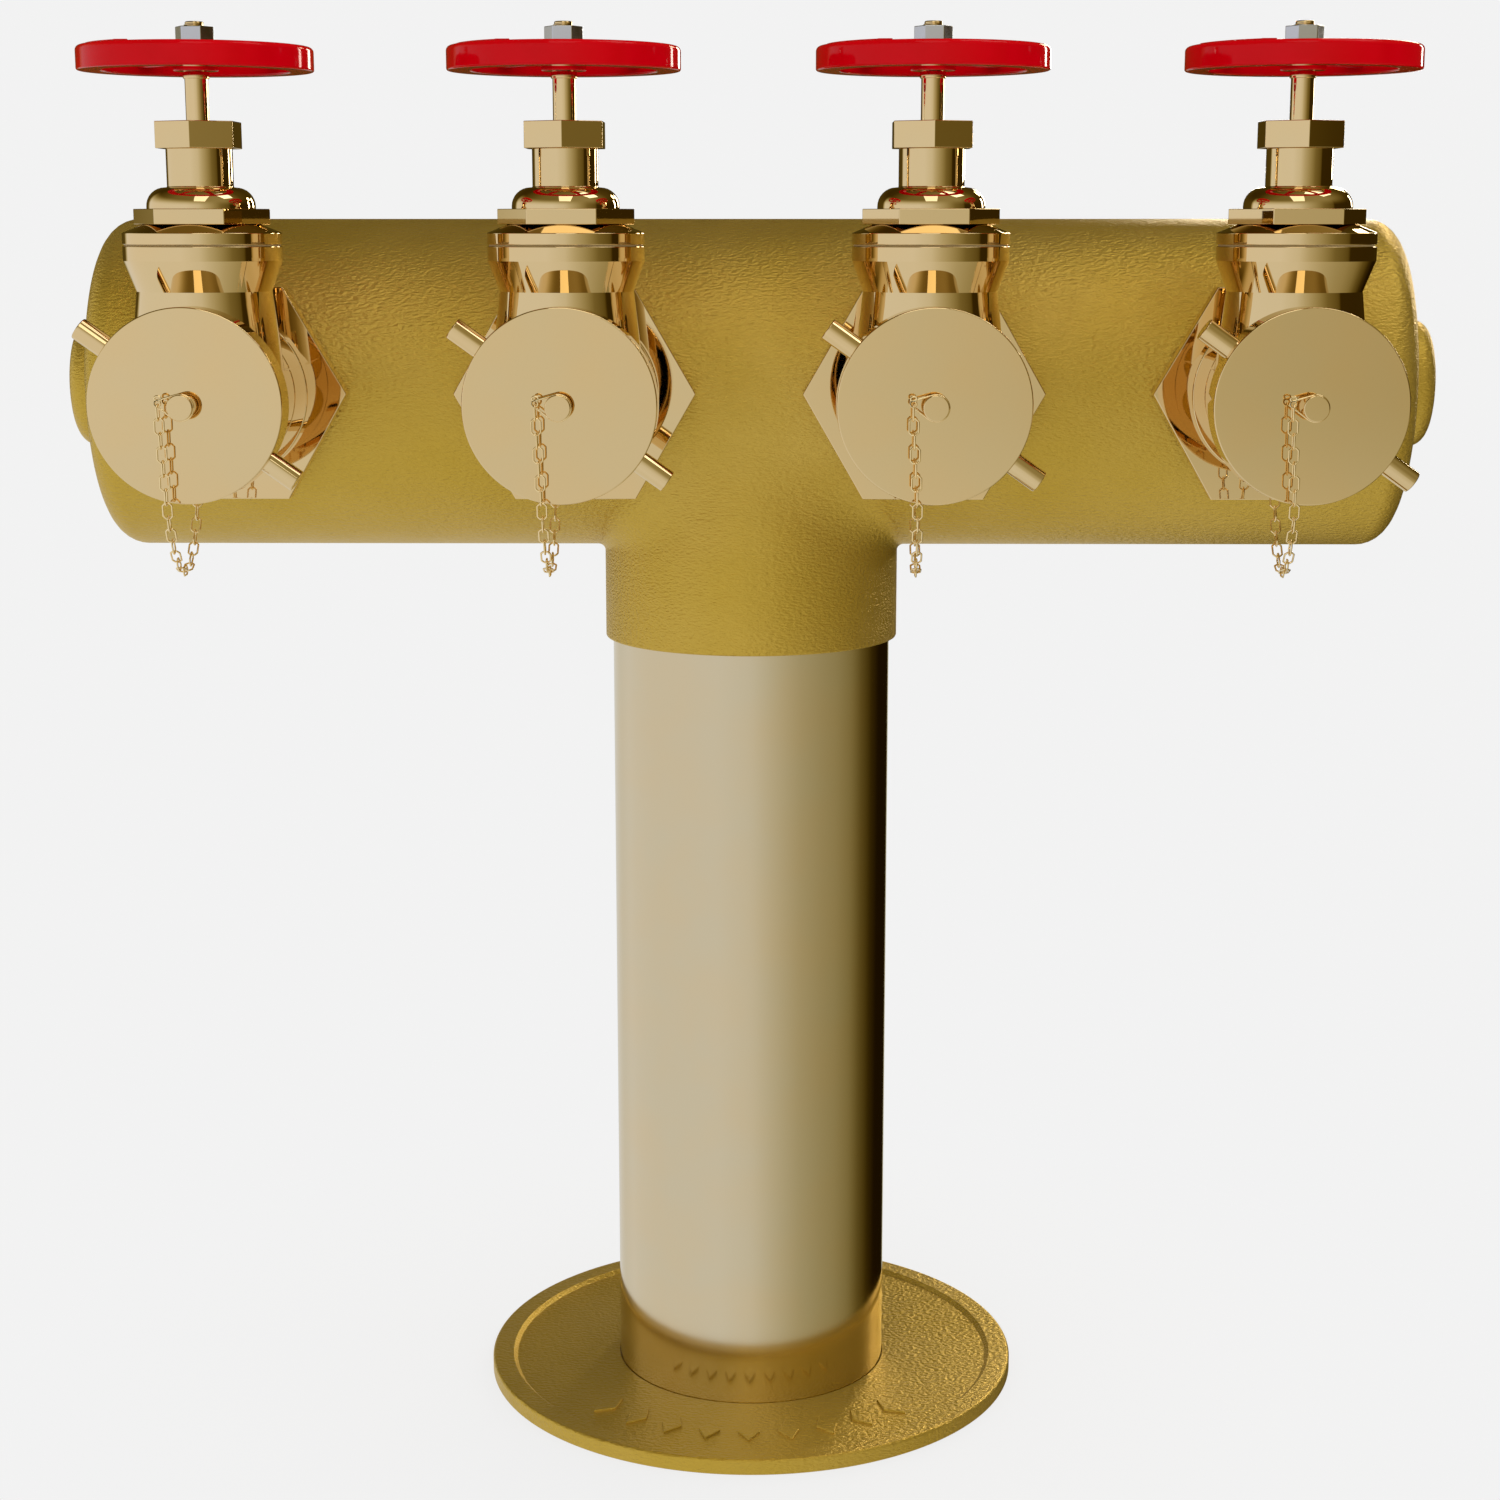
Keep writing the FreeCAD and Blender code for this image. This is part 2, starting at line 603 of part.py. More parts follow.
def chain_stud(number):
    """Stud with a thin head, shouldered on the cap's face and riveted through its middle."""
    body = new_body(f"chain_stud_{number}", valve_place(number))
    edge = d.stud_rivet_height / 2
    inner_face = d.cap_face - d.cap_front
    revolve(body, "Turned", "XY_Plane", "V_Axis", [
        (0, -d.stud_head_front), (d.stud_head_radius - edge, -d.stud_head_front),
        (d.stud_head_radius, edge - d.stud_head_front), (d.stud_head_radius, -d.stud_head_back - edge),
        (d.stud_head_radius - edge, -d.stud_head_back), (d.stud_body_radius, -d.stud_head_back),
        (d.stud_body_radius, -d.cap_front), (d.stud_neck_radius, -d.cap_front),
        (d.stud_neck_radius, inner_face), (d.stud_rivet_radius, inner_face),
        (d.stud_rivet_radius, inner_face + d.stud_rivet_height), (0, inner_face + d.stud_rivet_height)])
    return body


def wire_ring(corners, radius):
    """Closed ring of polygonal wire, mitred at the corners of a flat outline in the XZ plane."""
    count = len(corners)
    sections = []
    for index, corner in enumerate(corners):
        before = (corner - corners[index - 1]).normalize()
        after = (corners[(index + 1) % count] - corner).normalize()
        outward = (before - after).normalize()
        stretch = radius / math.sqrt((1 + before.dot(after)) / 2)
        section = []
        for side in range(WIRE_SIDES):
            angle = 2 * math.pi * side / WIRE_SIDES
            offset = outward * (stretch * math.cos(angle))
            section.append(corner + offset + FreeCAD.Vector(0, radius * math.sin(angle), 0))
        sections.append(section)
    faces = []
    for index, section in enumerate(sections):
        following = sections[(index + 1) % count]
        for side in range(WIRE_SIDES):
            other = (side + 1) % WIRE_SIDES
            quad = [section[side], following[side], following[other], section[other], section[side]]
            faces.append(Part.Face(Part.makePolygon(quad)))
    solid = Part.Solid(Part.Shell(faces))
    solid.fix(1e-6, 1e-6, 1e-6)
    if solid.Volume < 0:
        solid.reverse()
    return solid


def hook_arc(centre_x, radius, start, end, count):
    """Points along an arc of the hook, by its angles in degrees before its narrow end is raised."""
    turn = math.asin(d.hook_rise.value / d.hook_reach.value)
    points = []
    for index in range(count):
        angle = math.radians(start + (end - start) * index / (count - 1)) - turn
        points.append(FreeCAD.Vector(
            centre_x * math.cos(turn) + radius * math.cos(angle), -d.hook_plane.value,
            radius * math.sin(angle) - centre_x * math.sin(turn)))
    return points


def chain_hook(number):
    """Drop-shaped wire ring round the stud's body; its narrow end carries the chain."""
    hook = doc.addObject("Part::Feature", f"chain_hook_{number}")
    hook.Label = f"chain_hook_{number}"
    ring_radius = d.hook_ring_radius.value
    tip_radius = d.hook_tip_radius.value
    lean = 90 - math.degrees(math.asin((ring_radius - tip_radius) / d.hook_reach.value))
    big_end = hook_arc(0, ring_radius, lean - 180, 180 - lean, HOOK_RING_POINTS)
    small_end = hook_arc(-d.hook_reach.value, tip_radius, 180 - lean, 180 + lean, HOOK_TIP_POINTS)
    hook.Shape = wire_ring(big_end + small_end, d.hook_wire_radius.value)
    put(hook, valve_place(number))
    return hook


def catenary_scale(width, length):
    """Scale of the catenary of a length that hangs between two level points, by halving the interval."""
    low = width / SCALE_INTERVAL
    high = width * SCALE_INTERVAL
    for _ in range(HALVINGS):
        middle = (low + high) / 2
        if 2 * middle * math.sinh(width / (2 * middle)) > length:
            low = middle
        else:
            high = middle
    return (low + high) / 2


def chain_joints():
    """Points between the links: down the cap's face, then under it in a catenary to the eye."""
    reach = d.link_length.value / 2 - d.chain_wire_radius.value
    seat_gap = d.hook_wire_radius.value + d.chain_wire_radius.value + d.chain_slack_gap.value
    top = d.hook_rise.value + seat_gap - d.hook_tip_radius.value - reach
    eye_seat = d.eye_hole_radius.value - d.chain_wire_radius.value - d.chain_slack_gap.value
    seat = -d.eye_drop.value - eye_seat
    front = -d.hook_plane.value
    bend = -d.chain_bend_drop.value
    side_top = -math.sqrt(d.hook_reach.value ** 2 - d.hook_rise.value ** 2)
    side_bend = -d.chain_bend_side.value
    straight = math.hypot(top - bend, side_bend - side_top)
    hanging = (CHAIN_LINKS - 1) * d.link_pitch.value - straight
    lean = math.pi / 2
    for _ in range(LEAN_ROUNDS):
        width = -d.eye_front.value - reach * math.cos(lean) - front
        scale = catenary_scale(width, hanging)
        lean = math.atan(math.sinh(width / (2 * scale)))
    half_length = scale * math.sinh(width / (2 * scale))
    rise = seat - reach * math.sin(lean) - bend
    joints = []
    for index in range(CHAIN_LINKS + 1):
        run = (index - 0.5) * d.link_pitch.value
        if run <= straight:
            share = run / straight
            joints.append(FreeCAD.Vector(
                side_top + (side_bend - side_top) * share, front, top + (bend - top) * share))
            continue
        along = math.asinh((run - straight - half_length) / scale)
        share = (along * scale + width / 2) / width
        sag = scale * (math.cosh(along) - math.cosh(width / (2 * scale)))
        joints.append(FreeCAD.Vector(
            side_bend + (-d.eye_side.value - side_bend) * share, front + width * share,
            bend + sag + rise * share))
    return joints


def chain(number):
    """Chain of wire links from the hook's narrow end to the eye under the valve body."""
    strand = doc.addObject("Part::Feature", f"chain_{number}")
    strand.Label = f"chain_{number}"
    reach = d.link_length.value / 2 - d.chain_wire_radius.value
    half_width = d.link_width.value / 2 - d.chain_wire_radius.value
    corner = half_width * LINK_CORNER
    link = wire_ring([
        FreeCAD.Vector(half_width, 0, corner - reach), FreeCAD.Vector(half_width, 0, reach - corner),
        FreeCAD.Vector(half_width - corner, 0, reach), FreeCAD.Vector(corner - half_width, 0, reach),
        FreeCAD.Vector(-half_width, 0, reach - corner), FreeCAD.Vector(-half_width, 0, corner - reach),
        FreeCAD.Vector(corner - half_width, 0, -reach), FreeCAD.Vector(half_width - corner, 0, -reach)],
        d.chain_wire_radius.value)
    links = []
    joints = chain_joints()
    for index in range(CHAIN_LINKS):
        place = (joints[index] + joints[index + 1]) / 2
        along = joints[index + 1] - joints[index]
        lean = FreeCAD.Rotation(FreeCAD.Vector(1, 0, 0), math.degrees(math.atan2(along.y, -along.z)))
        quarter = FreeCAD.Rotation(FreeCAD.Vector(0, 0, 1), 90 if index % 2 == 0 else 0)
        links.append(link.transformed(FreeCAD.Placement(place, lean.multiply(quarter)).toMatrix()))
    strand.Shape = Part.Compound(links)
    put(strand, valve_place(number))
    return strand


def build_all():
    """Build every sub-part and return them."""
    sub_parts = [header_body(), sleeve(), floor_plate()]
    for number in VALVES:
        sub_parts.append(valve_body(number))
        sub_parts.append(bonnet(number))
        sub_parts.append(ring("bonnet_gasket", number, d.spigot_radius + d.loose_gap,
                              d.bonnet_gasket_radius, d.body_top, d.bonnet_bottom))
        packing_bottom = d.packing_bottom + d.stem_collar_height + d.loose_gap * 2
        sub_parts.append(ring("gland_packing", number, d.stem_hole_radius,
                              d.packing_radius - d.thread_gap, packing_bottom, d.gland_inner_top))
        sub_parts.append(gland_nut(number))
        sub_parts.append(stem(number))
        sub_parts.append(gate(number))
        sub_parts.append(handwheel(number))
        sub_parts.append(wheel_nut(number))
        sub_parts.append(cap(number))
        sub_parts.append(cap_gasket(number))
        sub_parts.append(chain_stud(number))
        sub_parts.append(chain_hook(number))
        sub_parts.append(chain(number))
    doc.recompute()
    return sub_parts


def check(sub_parts):
    """Stop if an object failed, a shape isn't sound or a cut took nothing away."""
    for item in doc.Objects:
        if "Invalid" in item.State or "Error" in item.State:
            raise RuntimeError(f"{item.Label}: {item.State}")
        if item.TypeId == "PartDesign::Groove" or "Subtractive" in item.TypeId:
            if item.Shape.Volume >= item.BaseFeature.Shape.Volume:
                raise RuntimeError(f"{item.Label} cuts nothing")
    for item in sub_parts:
        if item.Shape.isNull() or not item.Shape.isValid():
            raise RuntimeError(f"{item.Label}: the shape isn't valid")


def export(sub_parts):
    """Write one file for each sub-part."""
    os.makedirs("parts", exist_ok=True)
    for item in sub_parts:
        item.Shape.exportStep(f"parts/{item.Label}.step")


doc = FreeCAD.newDocument("FirePumpTestConnection")
d = fill_sheet()
finished = build_all()
check(finished)
export(finished)
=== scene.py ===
import math

import bmesh
import bpy
from mathutils import Matrix, Vector


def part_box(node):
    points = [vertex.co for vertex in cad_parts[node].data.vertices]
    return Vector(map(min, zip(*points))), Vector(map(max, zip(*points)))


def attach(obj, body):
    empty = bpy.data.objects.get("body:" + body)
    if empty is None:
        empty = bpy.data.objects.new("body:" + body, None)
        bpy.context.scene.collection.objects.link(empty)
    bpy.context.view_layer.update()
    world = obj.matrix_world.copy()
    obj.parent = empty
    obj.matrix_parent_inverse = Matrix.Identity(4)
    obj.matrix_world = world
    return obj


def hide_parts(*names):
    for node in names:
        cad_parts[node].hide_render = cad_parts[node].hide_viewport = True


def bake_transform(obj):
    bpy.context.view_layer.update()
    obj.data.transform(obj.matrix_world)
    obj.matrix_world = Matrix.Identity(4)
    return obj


# Looks of a four-way fire pump test connection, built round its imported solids.
# Forms are drawn in millimetres. Valve pieces are drawn about the point where a valve's stem axis crosses
# its waterway axis, and everything else about the point on the floor below the header's middle.

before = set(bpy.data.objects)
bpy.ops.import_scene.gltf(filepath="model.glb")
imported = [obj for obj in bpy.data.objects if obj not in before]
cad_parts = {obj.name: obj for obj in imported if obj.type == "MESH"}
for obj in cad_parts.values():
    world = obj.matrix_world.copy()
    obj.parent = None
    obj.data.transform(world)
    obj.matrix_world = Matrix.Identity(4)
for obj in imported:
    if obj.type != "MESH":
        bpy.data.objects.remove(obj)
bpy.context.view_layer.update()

MM = 0.001
VALVES = (1, 2, 3, 4)
SEGMENTS = 128
FINE_SEGMENTS = 192
MIDDLE_SEGMENTS = 96
SMALL_SEGMENTS = 64
ARC_STEPS = 8
BEVEL_STEPS = 6
AXIS_TOUCH = 1e-6
SHARP_ANGLE = math.radians(16)
WIRE_SHARP_ANGLE = math.radians(80)
WIRE_UP = Vector((0, 1, 0))
AXIS_TURN = {
    "X": Matrix.Rotation(math.radians(90), 4, "Y"),
    "Y": Matrix.Rotation(math.radians(-90), 4, "X"),
    "Z": Matrix.Identity(4),
}


def valve_origin(number):
    """Point where a valve's stem axis crosses its waterway axis, from its stem and cap."""
    stem_low, stem_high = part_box(f"stem_{number}")
    cap_low, cap_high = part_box(f"cap_{number}")
    middle = (stem_low + stem_high) / 2
    return Vector((middle.x, middle.y, (cap_low.z + cap_high.z) / 2))


ORIGINS = {number: valve_origin(number) for number in VALVES}
GROUND = Vector((0, 0, 0))
HEADER_HEIGHT = ORIGINS[1].z / MM


# Forms

def rounded(profile, closed):
    """Points of an outline of (across, along) corners; a third number rounds its corner by that radius."""
    points = []
    count = len(profile)
    for index, (across, along, *bend) in enumerate(profile):
        corner = Vector((across, along))
        at_end = not closed and index in (0, count - 1)
        if not bend or at_end:
            points.append(corner)
            continue
        before = Vector(profile[index - 1][:2]) - corner
        after = Vector(profile[(index + 1) % count][:2]) - corner
        half = before.angle(after) / 2
        run = bend[0] / math.tan(half)
        start = corner + before.normalized() * run
        end = corner + after.normalized() * run
        for step in range(ARC_STEPS + 1):
            share = step / ARC_STEPS
            weights = ((1 - share) ** 2, 2 * share * (1 - share) * math.sin(half), share ** 2)
            blended = start * weights[0] + corner * weights[1] + end * weights[2]
            points.append(blended / sum(weights))
    return points


def join_rows(shape, lower, upper):
    """Faces between two rings of vertices; a ring of one vertex is a pole."""
    count = max(len(lower), len(upper))
    if count == 1:
        return
    for index in range(count):
        following = (index + 1) % count
        corners = [lower[index % len(lower)], lower[following % len(lower)],
                   upper[following % len(upper)], upper[index % len(upper)]]
        shape.faces.new(list(dict.fromkeys(corners)))


def lathe(profile, axis="Z", closed=False, segments=SEGMENTS):
    """Turned form about an axis, from (radius, along) corners; closed is a ring that misses the axis."""
    shape = bmesh.new()
    rows = []
    for radius, along in rounded(profile, closed):
        if radius < AXIS_TOUCH:
            rows.append([shape.verts.new((0, 0, along))])
            continue
        row = []
        for index in range(segments):
            angle = 2 * math.pi * index / segments
            row.append(shape.verts.new((radius * math.cos(angle), radius * math.sin(angle), along)))
        rows.append(row)
    pairs = list(zip(rows, rows[1:]))
    if closed:
        pairs.append((rows[-1], rows[0]))
    for lower, upper in pairs:
        join_rows(shape, lower, upper)
    bmesh.ops.recalc_face_normals(shape, faces=shape.faces)
    shape.transform(AXIS_TURN[axis])
    return shape


def cylinder(radius, low, high, axis="Z"):
    """Plain solid cylinder, used to cut holes."""
    return lathe([(0, low), (radius, low), (radius, high), (0, high)], axis)


def extruded(outline, low, high, bevel=0.0, bevel_steps=BEVEL_STEPS):
    """Solid between two levels over an outline in the XY plane, with bevelled edges."""
    shape = bmesh.new()
    rings = []
    for level in (low, high):
        rings.append([shape.verts.new((across, along, level)) for across, along in outline])
    join_rows(shape, rings[0], rings[1])
    shape.faces.new(rings[0][::-1])
    shape.faces.new(rings[1])
    bmesh.ops.recalc_face_normals(shape, faces=shape.faces)
    if bevel:
        bmesh.ops.bevel(shape, geom=shape.edges[:], offset=bevel, segments=bevel_steps, profile=0.5,
                        affect="EDGES")
    return shape


def prism(sides, flats, low, high, axis="Z", turn=0.0, bevel=0.4):
    """Regular prism by its size across flats, with a corner on the first axis before it is turned."""
    corner = flats / 2 / math.cos(math.pi / sides)
    outline = []
    for index in range(sides):
        angle = 2 * math.pi * index / sides + math.radians(turn)
        outline.append((corner * math.cos(angle), corner * math.sin(angle)))
    shape = extruded(outline, low, high, bevel)
    shape.transform(AXIS_TURN[axis])
    return shape


def block(low, high, bevel=0.0):
    """Box between two corners."""
    outline = [(low[0], low[1]), (high[0], low[1]), (high[0], high[1]), (low[0], high[1])]
    return extruded(outline, low[2], high[2], bevel)


def moved(shape, *matrices):
    """The same form after some matrices, in order."""
    for matrix in matrices:
        shape.transform(matrix)
    return shape


def joined(*shapes):
    """Several forms as one, without cutting them."""
    whole = bmesh.new()
    for shape in shapes:
        part = bpy.data.meshes.new("part")
        shape.to_mesh(part)
        shape.free()
        whole.from_mesh(part)
        bpy.data.meshes.remove(part)
    return whole


def scratch_object(shape):
    """Linked object of a form, for a boolean."""
    mesh = bpy.data.meshes.new("scratch")
    shape.to_mesh(mesh)
    shape.free()
    made = bpy.data.objects.new("scratch", mesh)
    bpy.context.scene.collection.objects.link(made)
    return made


def combine(operation, base, *tools):
    """Boolean of a closed form with others, one after another."""
    target = scratch_object(base)
    used = [target]
    for tool in tools:
        tool_object = scratch_object(tool)
        used.append(tool_object)
        modifier = target.modifiers.new("Combine", "BOOLEAN")
        modifier.operation = operation
        modifier.solver = "EXACT"
        modifier.object = tool_object
    bpy.context.view_layer.update()
    result = bmesh.new()
    result.from_object(target, bpy.context.evaluated_depsgraph_get())
    for made in used:
        mesh = made.data
        bpy.data.objects.remove(made)
        bpy.data.meshes.remove(mesh)
    return result


def tube(path, radius, sides, closed=True):
    """Round wire along points, which may close on themselves."""
    shape = bmesh.new()
    count = len(path)
    rows = []
    for index, point in enumerate(path):
        ahead = path[(index + 1) % count] if closed or index < count - 1 else point
        behind = path[index - 1] if closed or index > 0 else point
        along = (ahead - behind).normalized()
        across = along.cross(WIRE_UP).normalized()
        up = across.cross(along)
        row = []
        for side in range(sides):
            angle = 2 * math.pi * side / sides
            sideways = across * (radius * math.cos(angle))
            upwards = up * (radius * math.sin(angle))
            row.append(shape.verts.new(point + sideways + upwards))
        rows.append(row)
    for lower, upper in zip(rows, rows[1:]):
        join_rows(shape, lower, upper)
    if closed:
        join_rows(shape, rows[-1], rows[0])
    else:
        shape.faces.new(rows[0][::-1])
        shape.faces.new(rows[-1])
    bmesh.ops.recalc_face_normals(shape, faces=shape.faces)
    return shape


def mesh_of(name, shape, material, sharp=SHARP_ANGLE):
    """Finished mesh in metres, smooth apart from its sharp edges."""
    shape.transform(Matrix.Scale(MM, 4))
    mesh = bpy.data.meshes.new(name)
    shape.to_mesh(mesh)
    shape.free()
    mesh.shade_smooth()
    mesh.set_sharp_from_angle(angle=sharp)
    mesh.materials.append(material)
    return mesh


def add_piece(name, mesh, origin, body, node):
    """Piece that stands for a CAD node and rides on its body."""
    piece = bpy.data.objects.new(name, mesh)
    bpy.context.scene.collection.objects.link(piece)
    piece.location = origin
    normals = piece.modifiers.new("Normals", "WEIGHTED_NORMAL")
    normals.keep_sharp = True
    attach(piece, body)
    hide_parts(node)
    return piece


# Materials

def new_material(name, color, metallic, roughness):
    """Principled material; returns it with its nodes, links and shader."""
    material = bpy.data.materials.new(name)
    material.use_nodes = True
    nodes = material.node_tree.nodes
    shader = nodes["Principled BSDF"]
    shader.inputs["Base Color"].default_value = (*color, 1)
    shader.inputs["Metallic"].default_value = metallic
    shader.inputs["Roughness"].default_value = roughness
    return material, nodes, material.node_tree.links, shader


def noise(nodes, links, scale, detail=2.0, stretch=(1, 1, 1)):
    """Noise in the object's own space, at a scale per metre."""
    place = nodes.new("ShaderNodeTexCoord")
    mapping = nodes.new("ShaderNodeMapping")
    mapping.inputs["Scale"].default_value = stretch
    texture = nodes.new("ShaderNodeTexNoise")
    texture.inputs["Scale"].default_value = scale
    texture.inputs["Detail"].default_value = detail
    links.new(place.outputs["Object"], mapping.inputs["Vector"])
    links.new(mapping.outputs["Vector"], texture.inputs["Vector"])
    return texture.outputs["Fac"]


def ramp(nodes, links, value, *stops):
    """Colour ramp of (position, colour) stops."""
    made = nodes.new("ShaderNodeValToRGB")
    elements = made.color_ramp.elements
    elements.remove(elements[1])
    elements[0].position = stops[0][0]
    elements[0].color = (*stops[0][1], 1)
    for position, color in stops[1:]:
        elements.new(position).color = (*color, 1)
    links.new(value, made.inputs["Fac"])
    return made.outputs["Color"]


def spread(nodes, links, value, low, high):
    """A noise value mapped to a range of roughness."""
    made = nodes.new("ShaderNodeMapRange")
    made.inputs["To Min"].default_value = low
    made.inputs["To Max"].default_value = high
    links.new(value, made.inputs["Value"])
    return made.outputs["Result"]


def bump(nodes, links, height, strength, distance, under=None):
    """Bump from a height, over another bump if there is one."""
    made = nodes.new("ShaderNodeBump")
    made.inputs["Strength"].default_value = strength
    made.inputs["Distance"].default_value = distance
    links.new(height, made.inputs["Height"])
    if under is not None:
        links.new(under, made.inputs["Normal"])
    return made.outputs["Normal"]


def cast_brass():
    """Rough cast brass: olive gold with a fine wrinkled skin."""
    material, nodes, links, shader = new_material("cast_brass", (0.62, 0.42, 0.065), 0.75, 0.36)
    dull, bright = (0.59, 0.395, 0.05), (0.65, 0.445, 0.085)
    tint = ramp(nodes, links, noise(nodes, links, 9, 3), (0.3, dull), (0.7, bright))
    links.new(tint, shader.inputs["Base Color"])
    shader.inputs["Specular IOR Level"].default_value = 0.25
    links.new(spread(nodes, links, noise(nodes, links, 60, 3), 0.30, 0.42), shader.inputs["Roughness"])
    wrinkles = bump(nodes, links, noise(nodes, links, 700, 3, (0.55, 0.8, 1.3)), 0.8, 0.001)
    swell = bump(nodes, links, noise(nodes, links, 130, 2), 0.08, 0.0008, wrinkles)
    links.new(swell, shader.inputs["Normal"])
    return material


def polished_brass(name, color, low, high):
    """Mirror-polished brass with faint haze."""
    material, nodes, links, shader = new_material(name, color, 1.0, low)
    warm = tuple(channel * factor for channel, factor in zip(color, (1.03, 0.99, 0.94)))
    tint = ramp(nodes, links, noise(nodes, links, 25, 2), (0.35, color), (0.7, warm))
    links.new(tint, shader.inputs["Base Color"])
    links.new(spread(nodes, links, noise(nodes, links, 40, 4), low, high), shader.inputs["Roughness"])
    return material


def red_enamel():
    """Gloss enamel on a casting, with a faint orange peel."""
    material, nodes, links, shader = new_material("red_enamel", (0.54, 0.0, 0.003), 0.0, 0.07)
    deep, light = (0.52, 0.0, 0.003), (0.57, 0.0, 0.005)
    tint = ramp(nodes, links, noise(nodes, links, 40, 2), (0.35, deep), (0.7, light))
    links.new(tint, shader.inputs["Base Color"])
    shader.inputs["Specular IOR Level"].default_value = 0.13
    links.new(bump(nodes, links, noise(nodes, links, 300, 2), 0.03, 0.0004), shader.inputs["Normal"])
    return material


def chrome():
    """Bright bluish plate on the wheel nuts."""
    material, nodes, links, shader = new_material("chrome_plate", (0.6, 0.61, 0.66), 1.0, 0.16)
    links.new(spread(nodes, links, noise(nodes, links, 200, 3), 0.12, 0.24), shader.inputs["Roughness"])
    return material


def rubber(name, color):
    """Matt rubber or packing."""
    material, nodes, links, shader = new_material(name, color, 0.0, 0.7)
    links.new(spread(nodes, links, noise(nodes, links, 300, 3), 0.6, 0.85), shader.inputs["Roughness"])
    links.new(bump(nodes, links, noise(nodes, links, 900, 3), 0.2, 0.0003), shader.inputs["Normal"])
    return material


CAST = cast_brass()
POLISHED = polished_brass("polished_brass", (0.80, 0.62, 0.34), 0.015, 0.035)
SLEEVE = polished_brass("sleeve_brass", (0.72, 0.62, 0.43), 0.10, 0.14)
CHAIN = polished_brass("chain_brass", (0.94, 0.76, 0.44), 0.03, 0.06)
ENAMEL = red_enamel()
CHROME = chrome()
GASKET = rubber("gasket", (0.02, 0.02, 0.02))
FIBRE = rubber("fibre", (0.42, 0.30, 0.12))
PACKING = rubber("packing", (0.03, 0.028, 0.025))


# Header, sleeve and floor plate

HEADER_RADIUS = 87.4
HEADER_HALF = 344.6
HEADER_WALL = 8.0
HEADER_ROUNDING = 15.0
HUB_RADIUS = 34.0
HUB_END = 365.0
HUB_ROUNDING = 8.0
HUB_FILLET = 2.5
COLLAR_RADIUS = 80.2
COLLAR_BOTTOM = 428.5
COLLAR_EDGE = 0.8
COLLAR_EDGE_MIDDLE = 0.25
SOCKET_RADIUS = 76.5
SOCKET_EDGE = 0.4
SLEEVE_INNER = 74.55
SLEEVE_OUTER = 76.2
SLEEVE_TOP = 457.2
SLEEVE_EDGE = 0.3
INLET_RADIUS = 69.2
OUTLET_RADIUS = 36.5
OUTLET_OVERCUT = 5.0
COLLAR_STEPS = 144
BLEND_STEPS = 14
BLEND_SIDE = 4.0
BLEND_FRONT = 150.0
BLEND_EASE = 4
SINK_SHARE = 0.003
SINK_RISE = 3.0
ELLIPSE_STEPS = 400
HALVINGS = 40
LEAST_FACING = 1e-3


def collar_blend(angle):
    """Arc in the upright plane at an angle round the riser that eases the collar's wall into the barrel."""
    facing = max(abs(math.sin(angle)), LEAST_FACING)
    reach = HEADER_RADIUS / facing
    radius = BLEND_SIDE + (BLEND_FRONT - BLEND_SIDE) * facing ** BLEND_EASE
    centre = COLLAR_RADIUS + radius

    def nearest(drop):
        """Gap to, and place of, the barrel's point nearest to the arc's centre at a drop below the axis."""
        best = None
        for step in range(ELLIPSE_STEPS + 1):
            turn = math.pi / 2 * step / ELLIPSE_STEPS
            point = Vector((reach * math.sin(turn), -HEADER_RADIUS * math.cos(turn)))
            gap = (point - Vector((centre, -drop))).length
            if best is None or gap < best[0]:
                best = (gap, point)
        return best

    low, high = 0.0, HEADER_RADIUS + radius
    for _ in range(HALVINGS):
        middle = (low + high) / 2
        inside = (centre / reach) ** 2 + (middle / HEADER_RADIUS) ** 2 < 1
        if inside or nearest(middle)[0] < radius:
            low = middle
        else:
            high = middle
    drop = (low + high) / 2
    touch = nearest(drop)[1]
    pivot = Vector((centre, -drop))
    first = math.pi
    last = math.atan2(touch.y - pivot.y, touch.x - pivot.x) % (2 * math.pi)
    points = []
    for step in range(BLEND_STEPS + 1):
        swing = first + (last - first) * step / BLEND_STEPS
        points.append(pivot + Vector((math.cos(swing), math.sin(swing))) * radius)
    return points


def collar():
    """Tee collar under the barrel: socket for the sleeve inside, wall that eases into the barrel outside."""
    shape = bmesh.new()
    top = SLEEVE_TOP - HEADER_HEIGHT
    bottom = COLLAR_BOTTOM - HEADER_HEIGHT
    columns = []
    for step in range(COLLAR_STEPS):
        angle = 2 * math.pi * step / COLLAR_STEPS
        blend = collar_blend(angle)
        end = blend[-1]
        sunk = Vector((end.x * (1 - SINK_SHARE), end.y + SINK_RISE))
        section = [(INLET_RADIUS, top), (SOCKET_RADIUS, top), (SOCKET_RADIUS, bottom + SOCKET_EDGE),
                   (SOCKET_RADIUS + SOCKET_EDGE, bottom), (COLLAR_RADIUS - COLLAR_EDGE, bottom),
                   (COLLAR_RADIUS - COLLAR_EDGE_MIDDLE, bottom + COLLAR_EDGE_MIDDLE),
                   (COLLAR_RADIUS, bottom + COLLAR_EDGE)]
        section += [(point.x, point.y) for point in blend]
        section += [(sunk.x, sunk.y), (INLET_RADIUS, sunk.y)]
        column = []
        for across, up in section:
            place = (across * math.cos(angle), across * math.sin(angle), HEADER_HEIGHT + up)
            column.append(shape.verts.new(place))
        columns.append(column)
    for index, column in enumerate(columns):
        following = columns[(index + 1) % COLLAR_STEPS]
        join_rows(shape, column, following)
    bmesh.ops.recalc_face_normals(shape, faces=shape.faces)
    return shape


